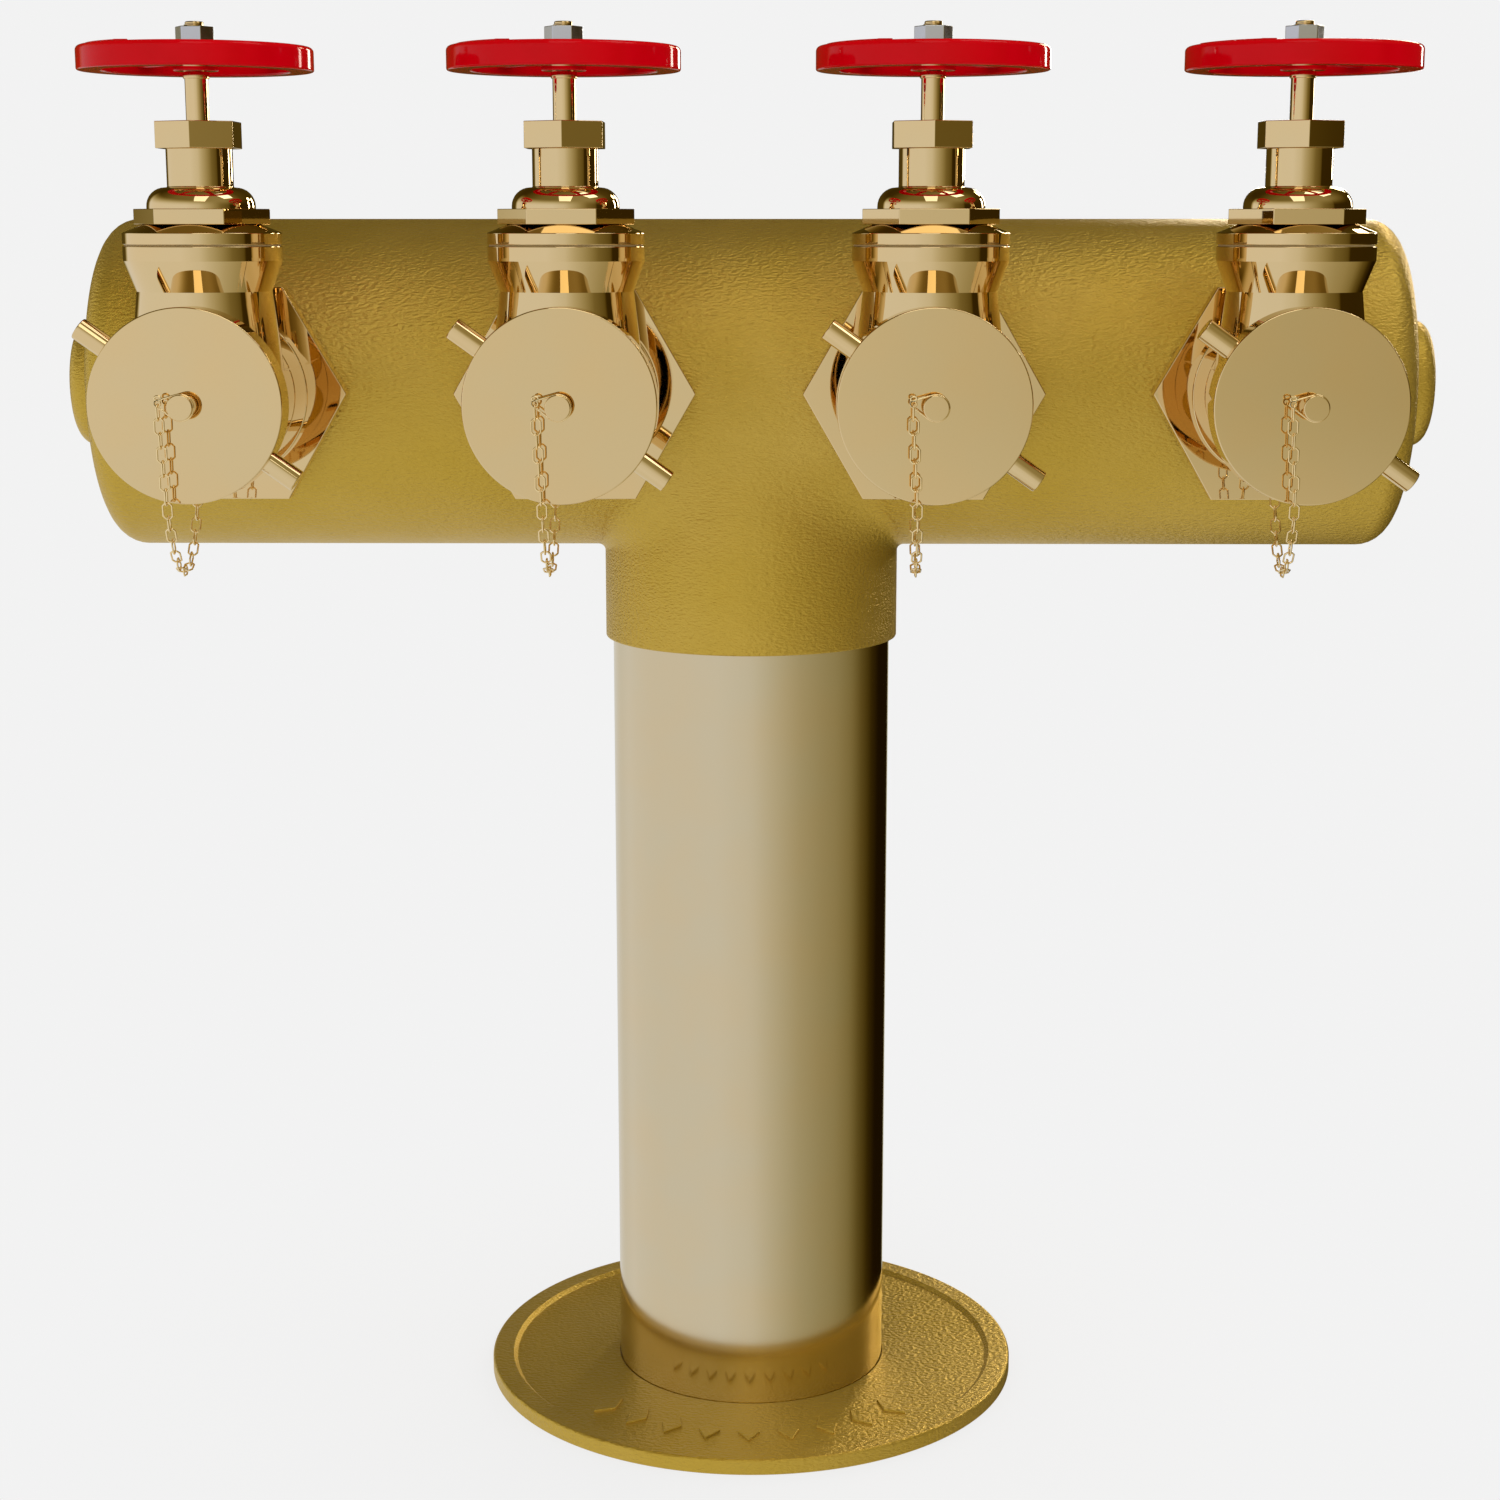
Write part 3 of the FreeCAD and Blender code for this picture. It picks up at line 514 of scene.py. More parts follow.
def header():
    """Hollow barrel with domed end hubs, bored for the riser and the four valves, on its collar."""
    outside = [(0, -HUB_END), (HUB_RADIUS, -HUB_END, HUB_ROUNDING), (HUB_RADIUS, -HEADER_HALF, HUB_FILLET),
               (HEADER_RADIUS, -HEADER_HALF, HEADER_ROUNDING), (HEADER_RADIUS, HEADER_HALF, HEADER_ROUNDING),
               (HUB_RADIUS, HEADER_HALF, HUB_FILLET), (HUB_RADIUS, HUB_END, HUB_ROUNDING), (0, HUB_END)]
    inner_end = HEADER_HALF - HEADER_WALL
    inner_radius = HEADER_RADIUS - HEADER_WALL
    inside = [(0, -inner_end), (inner_radius, -inner_end), (inner_radius, inner_end), (0, inner_end)]
    lift = Matrix.Translation((0, 0, HEADER_HEIGHT))
    barrel = moved(lathe(outside, "X", segments=FINE_SEGMENTS), lift)
    cutters = [moved(lathe(inside, "X"), lift), cylinder(INLET_RADIUS, COLLAR_BOTTOM, HEADER_HEIGHT)]
    for number in VALVES:
        side = ORIGINS[number].x / MM
        cutters.append(moved(cylinder(OUTLET_RADIUS, -HEADER_RADIUS - OUTLET_OVERCUT, 0, "Y"),
                             Matrix.Translation((side, 0, HEADER_HEIGHT))))
    return joined(combine("DIFFERENCE", barrel, *cutters), collar())


def sleeve():
    """Thin polished tube from the floor into the collar."""
    wall = [(SLEEVE_INNER, 0, SLEEVE_EDGE), (SLEEVE_OUTER, 0, SLEEVE_EDGE),
            (SLEEVE_OUTER, SLEEVE_TOP, SLEEVE_EDGE), (SLEEVE_INNER, SLEEVE_TOP, SLEEVE_EDGE)]
    return lathe(wall, closed=True, segments=FINE_SEGMENTS)


PLATE_HOLE = 76.5
PLATE_RADIUS = 150.3
PLATE_TOP = 8.5
PLATE_FLOOR = 6.4
PLATE_RIM_TOP = 138.3
PLATE_RIM_FOOT = 136.2
PLATE_MARKS = 9
PLATE_MARK_RADIUS = 113.0
PLATE_MARK_STEP = 11.0
MARK_HALF_WIDTH = 6.0
MARK_HALF_LENGTH = 11.0
MARK_BOTTOM = 5.4
MARK_TOP = 7.6
MARK_BEVEL = 0.5


def floor_plate():
    """Round cast plate with a raised rim and a row of plain raised lozenges in front."""
    section = [(PLATE_HOLE, 0), (PLATE_RADIUS, 0, 0.6), (PLATE_RADIUS, PLATE_TOP, 1.6),
               (PLATE_RIM_TOP, PLATE_TOP, 0.8), (PLATE_RIM_FOOT, PLATE_FLOOR, 0.8),
               (PLATE_HOLE, PLATE_FLOOR, 0.5)]
    shapes = [lathe(section, closed=True, segments=FINE_SEGMENTS)]
    corners = [(-MARK_HALF_WIDTH, 0), (0, -MARK_HALF_LENGTH), (MARK_HALF_WIDTH, 0), (0, MARK_HALF_LENGTH)]
    for index in range(PLATE_MARKS):
        angle = math.radians((index - (PLATE_MARKS - 1) / 2) * PLATE_MARK_STEP)
        lozenge = extruded(corners, MARK_BOTTOM, MARK_TOP, MARK_BEVEL)
        shapes.append(moved(lozenge, Matrix.Translation((0, -PLATE_MARK_RADIUS, 0)),
                            Matrix.Rotation(angle, 4, "Z")))
    return joined(*shapes)


# Valve pieces: levels along the waterway grow to the back, and levels along the stem grow upwards

RIDGE_ROOT_SHARE = 0.36
RIDGE_CREST_SHARE = 0.1


def screw_ridge(root, crest, low, high, pitch, axis="Z", steps=64):
    """Helical thread ridge between two levels."""
    shape = bmesh.new()
    half_root, half_crest = pitch * RIDGE_ROOT_SHARE, pitch * RIDGE_CREST_SHARE
    turns = (high - low - 2 * half_root) / pitch
    section = ((root, -half_root), (crest, -half_crest), (crest, half_crest), (root, half_root))
    rows = []
    count = int(turns * steps)
    for index in range(count + 1):
        angle = 2 * math.pi * turns * index / count
        level = low + half_root + pitch * turns * index / count
        row = []
        for radius, offset in section:
            place = (radius * math.cos(angle), radius * math.sin(angle), level + offset)
            row.append(shape.verts.new(place))
        rows.append(row)
    for lower, upper in zip(rows, rows[1:]):
        join_rows(shape, lower, upper)
    shape.faces.new(rows[0][::-1])
    shape.faces.new(rows[-1])
    bmesh.ops.recalc_face_normals(shape, faces=shape.faces)
    shape.transform(AXIS_TURN[axis])
    return shape


WATERWAY = 25.5
WATERWAY_CUT = (-60, 90)
HOSE_PITCH = 25.4 / 7.5
HOSE_FRONT = -48.7
HOSE_ROOT = 37.4
HOSE_RIDGE_ROOT = 37.2
HOSE_CREST = 38.97
HOSE_RIDGE_INSET = 0.3
BARREL_FRONT = -36.6
BARREL_RADIUS = 39.6
SHOULDER_FRONT = 32.9
SHOULDER_BACK = 45.0
SHOULDER_RADIUS = 43.0
NIPPLE_RADIUS = 36.4
NIPPLE_END = 75.9
HEXAGON_FLATS = 107.0
HEXAGON_FRONT = 38.9
HEXAGON_BACK = 49.9
NECK_FOOT = 38.8
NECK_WAIST = 32.9
NECK_WAIST_LEVEL = 52.5
FLANGE_RADIUS = 38.5
FLANGE_BOTTOM = 67.2
BODY_TOP = 74.2
SLOT_HALF_WIDTH = 28.6
SLOT_HALF_DEPTH = 8.5
SLOT_TOP = 70.0
BONNET_HOLE = 32.1
BONNET_HOLE_CUT = (61.7, 80)
EYE_SIDE = -6.5
EYE_HALF_THICKNESS = 0.7
EYE_FRONT = -3.5
EYE_MIDDLE = -42.3
EYE_RADIUS = 4.8
EYE_ROOT_TOP = -34.0
EYE_DROP = -44.2
EYE_HOLE = 1.9
EYE_OVERCUT = 2.5


def valve_body():
    """Gate valve body: hexagon, hub, barrel and threaded hose end, neck with bonnet flange, and chain eye."""
    run = lathe([(0, HOSE_FRONT), (HOSE_ROOT, HOSE_FRONT, 0.8), (HOSE_ROOT, BARREL_FRONT, 0.3),
                 (BARREL_RADIUS, BARREL_FRONT, 0.4), (BARREL_RADIUS, SHOULDER_FRONT),
                 (SHOULDER_RADIUS, SHOULDER_FRONT, 0.8), (SHOULDER_RADIUS, SHOULDER_BACK),
                 (NIPPLE_RADIUS, SHOULDER_BACK), (NIPPLE_RADIUS, NIPPLE_END, 1), (0, NIPPLE_END)], "Y")
    hexagon = prism(6, HEXAGON_FLATS, HEXAGON_FRONT, HEXAGON_BACK, "Y", bevel=0.6)
    neck = lathe([(0, 0), (NECK_FOOT, 0), (NECK_WAIST, NECK_WAIST_LEVEL), (FLANGE_RADIUS, FLANGE_BOTTOM, 0.3),
                  (FLANGE_RADIUS, BODY_TOP, 0.4), (0, BODY_TOP)])
    left, right = EYE_SIDE - EYE_HALF_THICKNESS, EYE_SIDE + EYE_HALF_THICKNESS
    eye = moved(cylinder(EYE_RADIUS, left, right, "X"), Matrix.Translation((0, EYE_FRONT, EYE_MIDDLE)))
    eye_root = block((left, EYE_FRONT - EYE_RADIUS, EYE_MIDDLE),
                     (right, EYE_FRONT + EYE_RADIUS, EYE_ROOT_TOP))
    body = combine("UNION", run, hexagon, neck, eye, eye_root)
    eye_hole = moved(cylinder(EYE_HOLE, EYE_SIDE - EYE_OVERCUT, EYE_SIDE + EYE_OVERCUT, "X"),
                     Matrix.Translation((0, EYE_FRONT, EYE_DROP)))
    slot = block((-SLOT_HALF_WIDTH, -SLOT_HALF_DEPTH, 0), (SLOT_HALF_WIDTH, SLOT_HALF_DEPTH, SLOT_TOP))
    body = combine("DIFFERENCE", body, cylinder(WATERWAY, *WATERWAY_CUT, "Y"),
                   cylinder(SLOT_HALF_WIDTH, -SLOT_HALF_DEPTH, SLOT_HALF_DEPTH, "Y"), slot,
                   cylinder(BONNET_HOLE, *BONNET_HOLE_CUT), eye_hole)
    ridge = screw_ridge(HOSE_RIDGE_ROOT, HOSE_CREST, HOSE_FRONT + HOSE_RIDGE_INSET,
                        BARREL_FRONT - HOSE_RIDGE_INSET, HOSE_PITCH, "Y")
    return joined(body, ridge)


SPIGOT_RADIUS = 32.0
SPIGOT_BOTTOM = 62.0
BONNET_SEAT = 75.0
BONNET_FLANGE_TOP = 80.5
BONNET_CONE_RADIUS = 28.5
BONNET_HEX_FLATS = 58.0
BONNET_HEX_BOTTOM = 84.6
BONNET_HEX_TOP = 92.0
DOME_RADIUS = 26.2
DOME_TOP = 102.2
DOME_ROUNDING = 9.0
PACKING_NECK_RADIUS = 16.0
GLAND_SEAT = 120.6
GLAND_THREAD_RADIUS = 13.0
GLAND_THREAD_TOP = 128.0
ROOM_CUT_BOTTOM = 60
ROOM_CUT_TOP = 130
GATE_ROOM_RADIUS = 29.8
GATE_ROOM_TOP = 80.5
BOSS_ROOM_RADIUS = 11.0
BOSS_ROOM_FOOT = 92.0
BOSS_ROOM_TOP = 96.0
STEM_HOLE = 5.7
PACKING_BOTTOM = 103.0
PACKING_RADIUS = 9.5


def bonnet():
    """Screwed bonnet: flange, hexagon, domed shoulder and packing neck, hollow for the raised gate."""
    outside = lathe([(0, SPIGOT_BOTTOM), (SPIGOT_RADIUS, SPIGOT_BOTTOM, 0.4), (SPIGOT_RADIUS, BONNET_SEAT),
                     (FLANGE_RADIUS, BONNET_SEAT, 0.4), (FLANGE_RADIUS, BONNET_FLANGE_TOP, 0.5),
                     (BONNET_CONE_RADIUS, BONNET_HEX_BOTTOM), (DOME_RADIUS, BONNET_HEX_TOP),
                     (DOME_RADIUS, DOME_TOP, DOME_ROUNDING), (PACKING_NECK_RADIUS, DOME_TOP, 0.6),
                     (PACKING_NECK_RADIUS, GLAND_SEAT, 0.3), (GLAND_THREAD_RADIUS, GLAND_SEAT),
                     (GLAND_THREAD_RADIUS, GLAND_THREAD_TOP, 0.5), (0, GLAND_THREAD_TOP)])
    hexagon = prism(6, BONNET_HEX_FLATS, BONNET_HEX_BOTTOM, BONNET_HEX_TOP, bevel=0.35)
    room = lathe([(0, ROOM_CUT_BOTTOM), (GATE_ROOM_RADIUS, ROOM_CUT_BOTTOM),
                  (GATE_ROOM_RADIUS, GATE_ROOM_TOP), (BOSS_ROOM_RADIUS, BOSS_ROOM_FOOT),
                  (BOSS_ROOM_RADIUS, BOSS_ROOM_TOP), (STEM_HOLE, BOSS_ROOM_TOP), (STEM_HOLE, PACKING_BOTTOM),
                  (PACKING_RADIUS, PACKING_BOTTOM), (PACKING_RADIUS, ROOM_CUT_TOP), (0, ROOM_CUT_TOP)])
    return combine("DIFFERENCE", combine("UNION", outside, hexagon), room)


GLAND_NUT_FLATS = 37.8
GLAND_NUT_TOP = 133.4
GLAND_NUT_THREAD = 13.1
GLAND_NUT_ROOF = 129.0
GLAND_CUT_BOTTOM = 119
GLAND_CUT_TOP = 135


def gland_nut():
    """Hexagonal gland nut with a corner to the front."""
    hole = lathe([(0, GLAND_CUT_BOTTOM), (GLAND_NUT_THREAD, GLAND_CUT_BOTTOM),
                  (GLAND_NUT_THREAD, GLAND_NUT_ROOF), (STEM_HOLE, GLAND_NUT_ROOF),
                  (STEM_HOLE, GLAND_CUT_TOP), (0, GLAND_CUT_TOP)])
    nut = prism(6, GLAND_NUT_FLATS, GLAND_SEAT, GLAND_NUT_TOP, turn=30, bevel=0.35)
    return combine("DIFFERENCE", nut, hole)


STEM_BOTTOM = 27.0
STEM_RADIUS = 5.6
THRUST_RADIUS = 9.1
THRUST_BOTTOM = 103.3
THRUST_TOP = 107.2
STEM_STEP_RADIUS = 6.3
STEM_STEP_BOTTOM = 153.5
STEM_STEP_TOP = 156.8
DRIVE_FLATS = 10.0
DRIVE_BOTTOM = 156.6
DRIVE_TOP = 167.8
STEM_END_RADIUS = 4.4
STEM_END_BOTTOM = 167.0
STEM_TOP = 180.3
DRIVER_SLOT_HALF_LENGTH = 6
DRIVER_SLOT_HALF_WIDTH = 0.7
DRIVER_SLOT_FLOOR = 179.2
DRIVER_SLOT_TOP = 182
STEM_THREAD_ROOT = 4.3
STEM_THREAD_CREST = 4.9
STEM_THREAD_BOTTOM = 168.2
STEM_THREAD_TOP = 179.6
STEM_THREAD_PITCH = 1.5
STEM_THREAD_STEPS = 32
SQUARE_TURN = Matrix.Rotation(math.radians(45), 4, "Z")


def stem():
    """Stem with thrust collar, square drive, threaded end and a driver slot in its top."""
    turned = lathe([(0, STEM_BOTTOM), (STEM_RADIUS, STEM_BOTTOM, 0.6), (STEM_RADIUS, THRUST_BOTTOM),
                    (THRUST_RADIUS, THRUST_BOTTOM, 0.4), (THRUST_RADIUS, THRUST_TOP, 0.4),
                    (STEM_RADIUS, THRUST_TOP), (STEM_RADIUS, STEM_STEP_BOTTOM),
                    (STEM_STEP_RADIUS, STEM_STEP_BOTTOM, 0.3), (STEM_STEP_RADIUS, STEM_STEP_TOP),
                    (0, STEM_STEP_TOP)], segments=SMALL_SEGMENTS)
    drive = prism(4, DRIVE_FLATS, DRIVE_BOTTOM, DRIVE_TOP, bevel=0.7)
    end = lathe([(0, STEM_END_BOTTOM), (STEM_END_RADIUS, STEM_END_BOTTOM), (STEM_END_RADIUS, STEM_TOP, 0.7),
                 (0, STEM_TOP)], segments=SMALL_SEGMENTS)
    slot = block((-DRIVER_SLOT_HALF_LENGTH, -DRIVER_SLOT_HALF_WIDTH, DRIVER_SLOT_FLOOR),
                 (DRIVER_SLOT_HALF_LENGTH, DRIVER_SLOT_HALF_WIDTH, DRIVER_SLOT_TOP))
    end = combine("DIFFERENCE", end, slot)
    ridge = screw_ridge(STEM_THREAD_ROOT, STEM_THREAD_CREST, STEM_THREAD_BOTTOM, STEM_THREAD_TOP,
                        STEM_THREAD_PITCH, steps=STEM_THREAD_STEPS)
    return joined(turned, moved(drive, SQUARE_TURN), end, ridge)


SPOKE_TURNS = (45, 135, 225, 315)
SPOKE_BOTTOM = 160.2
SPOKE_TOP = 166.6
SPOKE_ROOT = 5.0
SPOKE_ROOT_HALF_WIDTH = 5.75
SPOKE_TIP = 47.5
SPOKE_TIP_HALF_WIDTH = 4.6
SPOKE_BEVEL = 1.2
WHEEL_BOTTOM = 157.0
WHEEL_TOP = 168.6
WHEEL_HUB_RADIUS = 11.0
WHEEL_SQUARE = 10.2
WHEEL_SQUARE_CUT = (150, 175)
RIM_INNER = 45.0
RIM_OUTER = 56.4
RIM_MIDDLE = 50.7
RIM_EDGE_BELOW = 1
RIM_EDGE_ABOVE = 2.4
ARROW_STARTS = (10, 190)
ARROW_SWEEP = 48
ARROW_TIP = 7
ARROW_HALF_WIDTH = 1.3
ARROW_HEAD_HALF_WIDTH = 3.0
ARROW_STEPS = 10
ARROW_BOTTOM = 168.0
ARROW_TOP = 169.3
ARROW_BEVEL = 0.2
ARROW_BEVEL_STEPS = 2


def on_circle(radius, degrees):
    """Point of a circle about the stem axis."""
    angle = math.radians(degrees)
    return (radius * math.cos(angle), radius * math.sin(angle))


def rim_arrow(start):
    """Plain curved arrow, raised on the rim's top."""
    outer, inner = [], []
    for step in range(ARROW_STEPS + 1):
        turn = start + ARROW_SWEEP * step / ARROW_STEPS
        outer.append(on_circle(RIM_MIDDLE + ARROW_HALF_WIDTH, turn))
        inner.append(on_circle(RIM_MIDDLE - ARROW_HALF_WIDTH, turn))
    neck = start + ARROW_SWEEP
    barb = [on_circle(RIM_MIDDLE - ARROW_HEAD_HALF_WIDTH, neck), on_circle(RIM_MIDDLE, neck + ARROW_TIP),
            on_circle(RIM_MIDDLE + ARROW_HEAD_HALF_WIDTH, neck)]
    return extruded(inner + barb + outer[::-1], ARROW_BOTTOM, ARROW_TOP, ARROW_BEVEL, ARROW_BEVEL_STEPS)


def handwheel():
    """Cast handwheel with a flat band rim, four spokes and a square-holed hub."""
    rim = lathe([(RIM_INNER, WHEEL_BOTTOM, RIM_EDGE_BELOW), (RIM_OUTER, WHEEL_BOTTOM, RIM_EDGE_BELOW),
                 (RIM_OUTER, WHEEL_TOP, RIM_EDGE_ABOVE), (RIM_INNER, WHEEL_TOP, RIM_EDGE_ABOVE)], closed=True,
                segments=FINE_SEGMENTS)
    outline = [(SPOKE_ROOT, -SPOKE_ROOT_HALF_WIDTH), (SPOKE_TIP, -SPOKE_TIP_HALF_WIDTH),
               (SPOKE_TIP, SPOKE_TIP_HALF_WIDTH), (SPOKE_ROOT, SPOKE_ROOT_HALF_WIDTH)]
    spokes = []
    for turn in SPOKE_TURNS:
        bar = extruded(outline, SPOKE_BOTTOM, SPOKE_TOP, SPOKE_BEVEL)
        spokes.append(moved(bar, Matrix.Rotation(math.radians(turn), 4, "Z")))
    hub = lathe([(0, WHEEL_BOTTOM), (WHEEL_HUB_RADIUS, WHEEL_BOTTOM, 0.8), (WHEEL_HUB_RADIUS, WHEEL_TOP, 0.8),
                 (0, WHEEL_TOP)], segments=MIDDLE_SEGMENTS)
    wheel = combine("UNION", rim, hub, *spokes)
    square = moved(prism(4, WHEEL_SQUARE, *WHEEL_SQUARE_CUT, bevel=0), SQUARE_TURN)
    wheel = combine("DIFFERENCE", wheel, square)
    return joined(wheel, *(rim_arrow(start) for start in ARROW_STARTS))


WHEEL_NUT_FLATS = 16.2
WHEEL_NUT_TOP = 177.9
WHEEL_NUT_HOLE = 5.0
WHEEL_NUT_CUT = (160, 190)


def wheel_nut():
    """Plated hexagonal nut on the stem's threaded end."""
    nut = prism(6, WHEEL_NUT_FLATS, WHEEL_TOP, WHEEL_NUT_TOP, bevel=0.4)
    return combine("DIFFERENCE", nut, cylinder(WHEEL_NUT_HOLE, *WHEEL_NUT_CUT))


CAP_FACE = -55.7
CAP_SEAT = -51.2
CAP_BACK = -37.2
CAP_RADIUS = 46.5
CAP_THREAD = 39.3
CAP_THREAD_CUT_BACK = -30
CAP_STUD_HOLE = 3.1
CAP_STUD_CUT = (-60, -45)
LUG_RADIUS = 5.5
LUG_REACH = 62.5
LUG_LEVEL = -46.7
LUG_TURN = 35.5


def cap():
    """Hose cap with a flat polished face and two pin lugs."""
    disc = lathe([(0, CAP_FACE), (CAP_RADIUS, CAP_FACE, 0.7), (CAP_RADIUS, CAP_BACK, 0.7), (0, CAP_BACK)],
                 "Y", segments=FINE_SEGMENTS)
    lugs = lathe([(0, -LUG_REACH), (LUG_RADIUS, -LUG_REACH, 0.5), (LUG_RADIUS, LUG_REACH, 0.5),
                  (0, LUG_REACH)], "X", segments=SMALL_SEGMENTS)
    whole = combine("UNION", disc, moved(lugs, Matrix.Translation((0, LUG_LEVEL, 0))))
    whole = combine("DIFFERENCE", whole, cylinder(CAP_THREAD, CAP_SEAT, CAP_THREAD_CUT_BACK, "Y"),
                    cylinder(CAP_STUD_HOLE, *CAP_STUD_CUT, "Y"))
    return moved(whole, Matrix.Rotation(math.radians(LUG_TURN), 4, "Y"))


STUD_FRONT = -66.7
STUD_HEAD_BACK = -65.0
STUD_HEAD_RADIUS = 6.2
STUD_BODY_RADIUS = 5.2
STUD_SHANK_RADIUS = 3.0
RIVET_RADIUS = 5.0
RIVET_BACK = -49.7


def chain_stud():
    """Stud with a thin head, shouldered on the cap's face and riveted through it."""
    return lathe([(0, STUD_FRONT), (STUD_HEAD_RADIUS, STUD_FRONT, 0.6),
                  (STUD_HEAD_RADIUS, STUD_HEAD_BACK, 0.6), (STUD_BODY_RADIUS, STUD_HEAD_BACK),
                  (STUD_BODY_RADIUS, CAP_FACE), (STUD_SHANK_RADIUS, CAP_FACE), (STUD_SHANK_RADIUS, CAP_SEAT),
                  (RIVET_RADIUS, CAP_SEAT, 0.5), (RIVET_RADIUS, RIVET_BACK, 0.7), (0, RIVET_BACK)], "Y",
                 segments=MIDDLE_SEGMENTS)


HOOK_PLANE = -64.3
HOOK_RING = 6.2
HOOK_TIP = 1.4
HOOK_REACH = 10.9
HOOK_RISE = 2.0
HOOK_SIDE = -math.sqrt(HOOK_REACH ** 2 - HOOK_RISE ** 2)
HOOK_WIRE = 0.5
HOOK_POINTS = 28
CURL_OFFSET = 0.2
CURL_RISE = 2.3
CURL_HALF_WIDTH = 1.5
CURL_HALF_HEIGHT = 1.1
WIRE_SIDES = 10


def wire_loop(across, up, half_width, half_height):
    """Small closed eye of wire in the hook's plane."""
    path = []
    for step in range(HOOK_POINTS):
        angle = 2 * math.pi * step / HOOK_POINTS
        path.append(Vector((across + half_width * math.cos(angle), HOOK_PLANE,
                            up + half_height * math.sin(angle))))
    return tube(path, HOOK_WIRE, WIRE_SIDES)


def chain_hook():
    """Drop-shaped wire ring round the stud's body, with an eye and a curl of wire at its narrow end."""
    lean = math.pi / 2 - math.asin((HOOK_RING - HOOK_TIP) / HOOK_REACH)
    turn = math.asin(HOOK_RISE / HOOK_REACH)
    path = []
    for step in range(HOOK_POINTS):
        angle = (lean - math.pi) + 2 * (math.pi - lean) * step / (HOOK_POINTS - 1) - turn
        path.append(Vector((HOOK_RING * math.cos(angle), HOOK_PLANE, HOOK_RING * math.sin(angle))))
    for step in range(HOOK_POINTS // 2):
        angle = (math.pi - lean) + 2 * lean * step / (HOOK_POINTS // 2 - 1) - turn
        path.append(Vector((HOOK_TIP * math.cos(angle) + HOOK_SIDE, HOOK_PLANE,
                            HOOK_TIP * math.sin(angle) + HOOK_RISE)))
    eye = wire_loop(HOOK_SIDE, HOOK_RISE, HOOK_TIP, HOOK_TIP)
    curl = wire_loop(HOOK_SIDE + CURL_OFFSET, HOOK_RISE + CURL_RISE, CURL_HALF_WIDTH, CURL_HALF_HEIGHT)
    return joined(tube(path, HOOK_WIRE, WIRE_SIDES), eye, curl)


CHAIN_LINKS = 22
LINK_LENGTH = 8.5
LINK_WIDTH = 5.3
LINK_PITCH = 6.66
LINK_WIRE = 0.45
LINK_SLACK = 0.05
LINK_CORNER = 0.58
LINK_ROUNDING = 0.5
LINK_SIDES = 8
BEND_DROP = -49.5
BEND_SIDE = -8.0
SCALE_RANGE = 20
SCALE_HALVINGS = 80
LEAN_ROUNDS = 12


def catenary_scale(width, length):
    """Scale of the catenary of a length between two level points, by halving an interval."""
    low, high = width / SCALE_RANGE, width * SCALE_RANGE
    for _ in range(SCALE_HALVINGS):
        middle = (low + high) / 2
        if 2 * middle * math.sinh(width / (2 * middle)) > length:
            low = middle
        else:
            high = middle
    return (low + high) / 2


def chain_joints():
    """Points between the links: down the cap's face, then under it in a catenary to the eye."""
    reach = LINK_LENGTH / 2 - LINK_WIRE
    top = HOOK_RISE + HOOK_WIRE + LINK_WIRE + LINK_SLACK - HOOK_TIP - reach
    seat = EYE_DROP - (EYE_HOLE - LINK_WIRE - LINK_SLACK)
    straight = math.hypot(top - BEND_DROP, BEND_SIDE - HOOK_SIDE)
    hanging = (CHAIN_LINKS - 1) * LINK_PITCH - straight
    lean = math.pi / 2
    for _ in range(LEAN_ROUNDS):
        width = EYE_FRONT - reach * math.cos(lean) - HOOK_PLANE
        scale = catenary_scale(width, hanging)
        lean = math.atan(math.sinh(width / (2 * scale)))
    half_length = scale * math.sinh(width / (2 * scale))
    rise = seat - reach * math.sin(lean) - BEND_DROP
    joints = []
    for index in range(CHAIN_LINKS + 1):
        run = (index - 0.5) * LINK_PITCH
        if run <= straight:
            share = run / straight
            joints.append(Vector((HOOK_SIDE + (BEND_SIDE - HOOK_SIDE) * share, HOOK_PLANE,
                                  top + (BEND_DROP - top) * share)))
            continue
        along = math.asinh((run - straight - half_length) / scale)
        share = (along * scale + width / 2) / width
        sag = scale * (math.cosh(along) - math.cosh(width / (2 * scale)))
        joints.append(Vector((BEND_SIDE + (EYE_SIDE - BEND_SIDE) * share, HOOK_PLANE + width * share,
                              BEND_DROP + sag + rise * share)))
    return joints


def link():
    """One wire link, an octagon stretched along Z with eased corners."""
    reach = LINK_LENGTH / 2 - LINK_WIRE
    half = LINK_WIDTH / 2 - LINK_WIRE
    cut = half * LINK_CORNER
    corners = []
    for across, along in ((half, cut - reach), (half, reach - cut), (half - cut, reach), (cut - half, reach),
                          (-half, reach - cut), (-half, cut - reach), (cut - half, -reach),
                          (half - cut, -reach)):
        corners.append((across, along, LINK_ROUNDING))
    path = [Vector((point.x, 0, point.y)) for point in rounded(corners, True)[::2]]
    return tube(path, LINK_WIRE, LINK_SIDES)


def chain():
    """Chain of wire links from the hook's narrow end to the eye under the valve body."""
    joints = chain_joints()
    links = []
    for index in range(CHAIN_LINKS):
        along = joints[index + 1] - joints[index]
        middle = (joints[index] + joints[index + 1]) / 2
        lean = Matrix.Rotation(math.atan2(along.y, -along.z), 4, "X")
        quarter = Matrix.Rotation(math.pi / 2 if index % 2 == 0 else 0, 4, "Z")
        links.append(moved(link(), quarter, lean, Matrix.Translation(middle)))
    return joined(*links)


# Build everything

STAND_PIECES = (
    ("header_casting", header, CAST, "header_body", "cast_brass"),
    ("riser_sleeve", sleeve, SLEEVE, "sleeve", "sleeve_brass"),
    ("base_plate", floor_plate, CAST, "floor_plate", "cast_brass"),
)

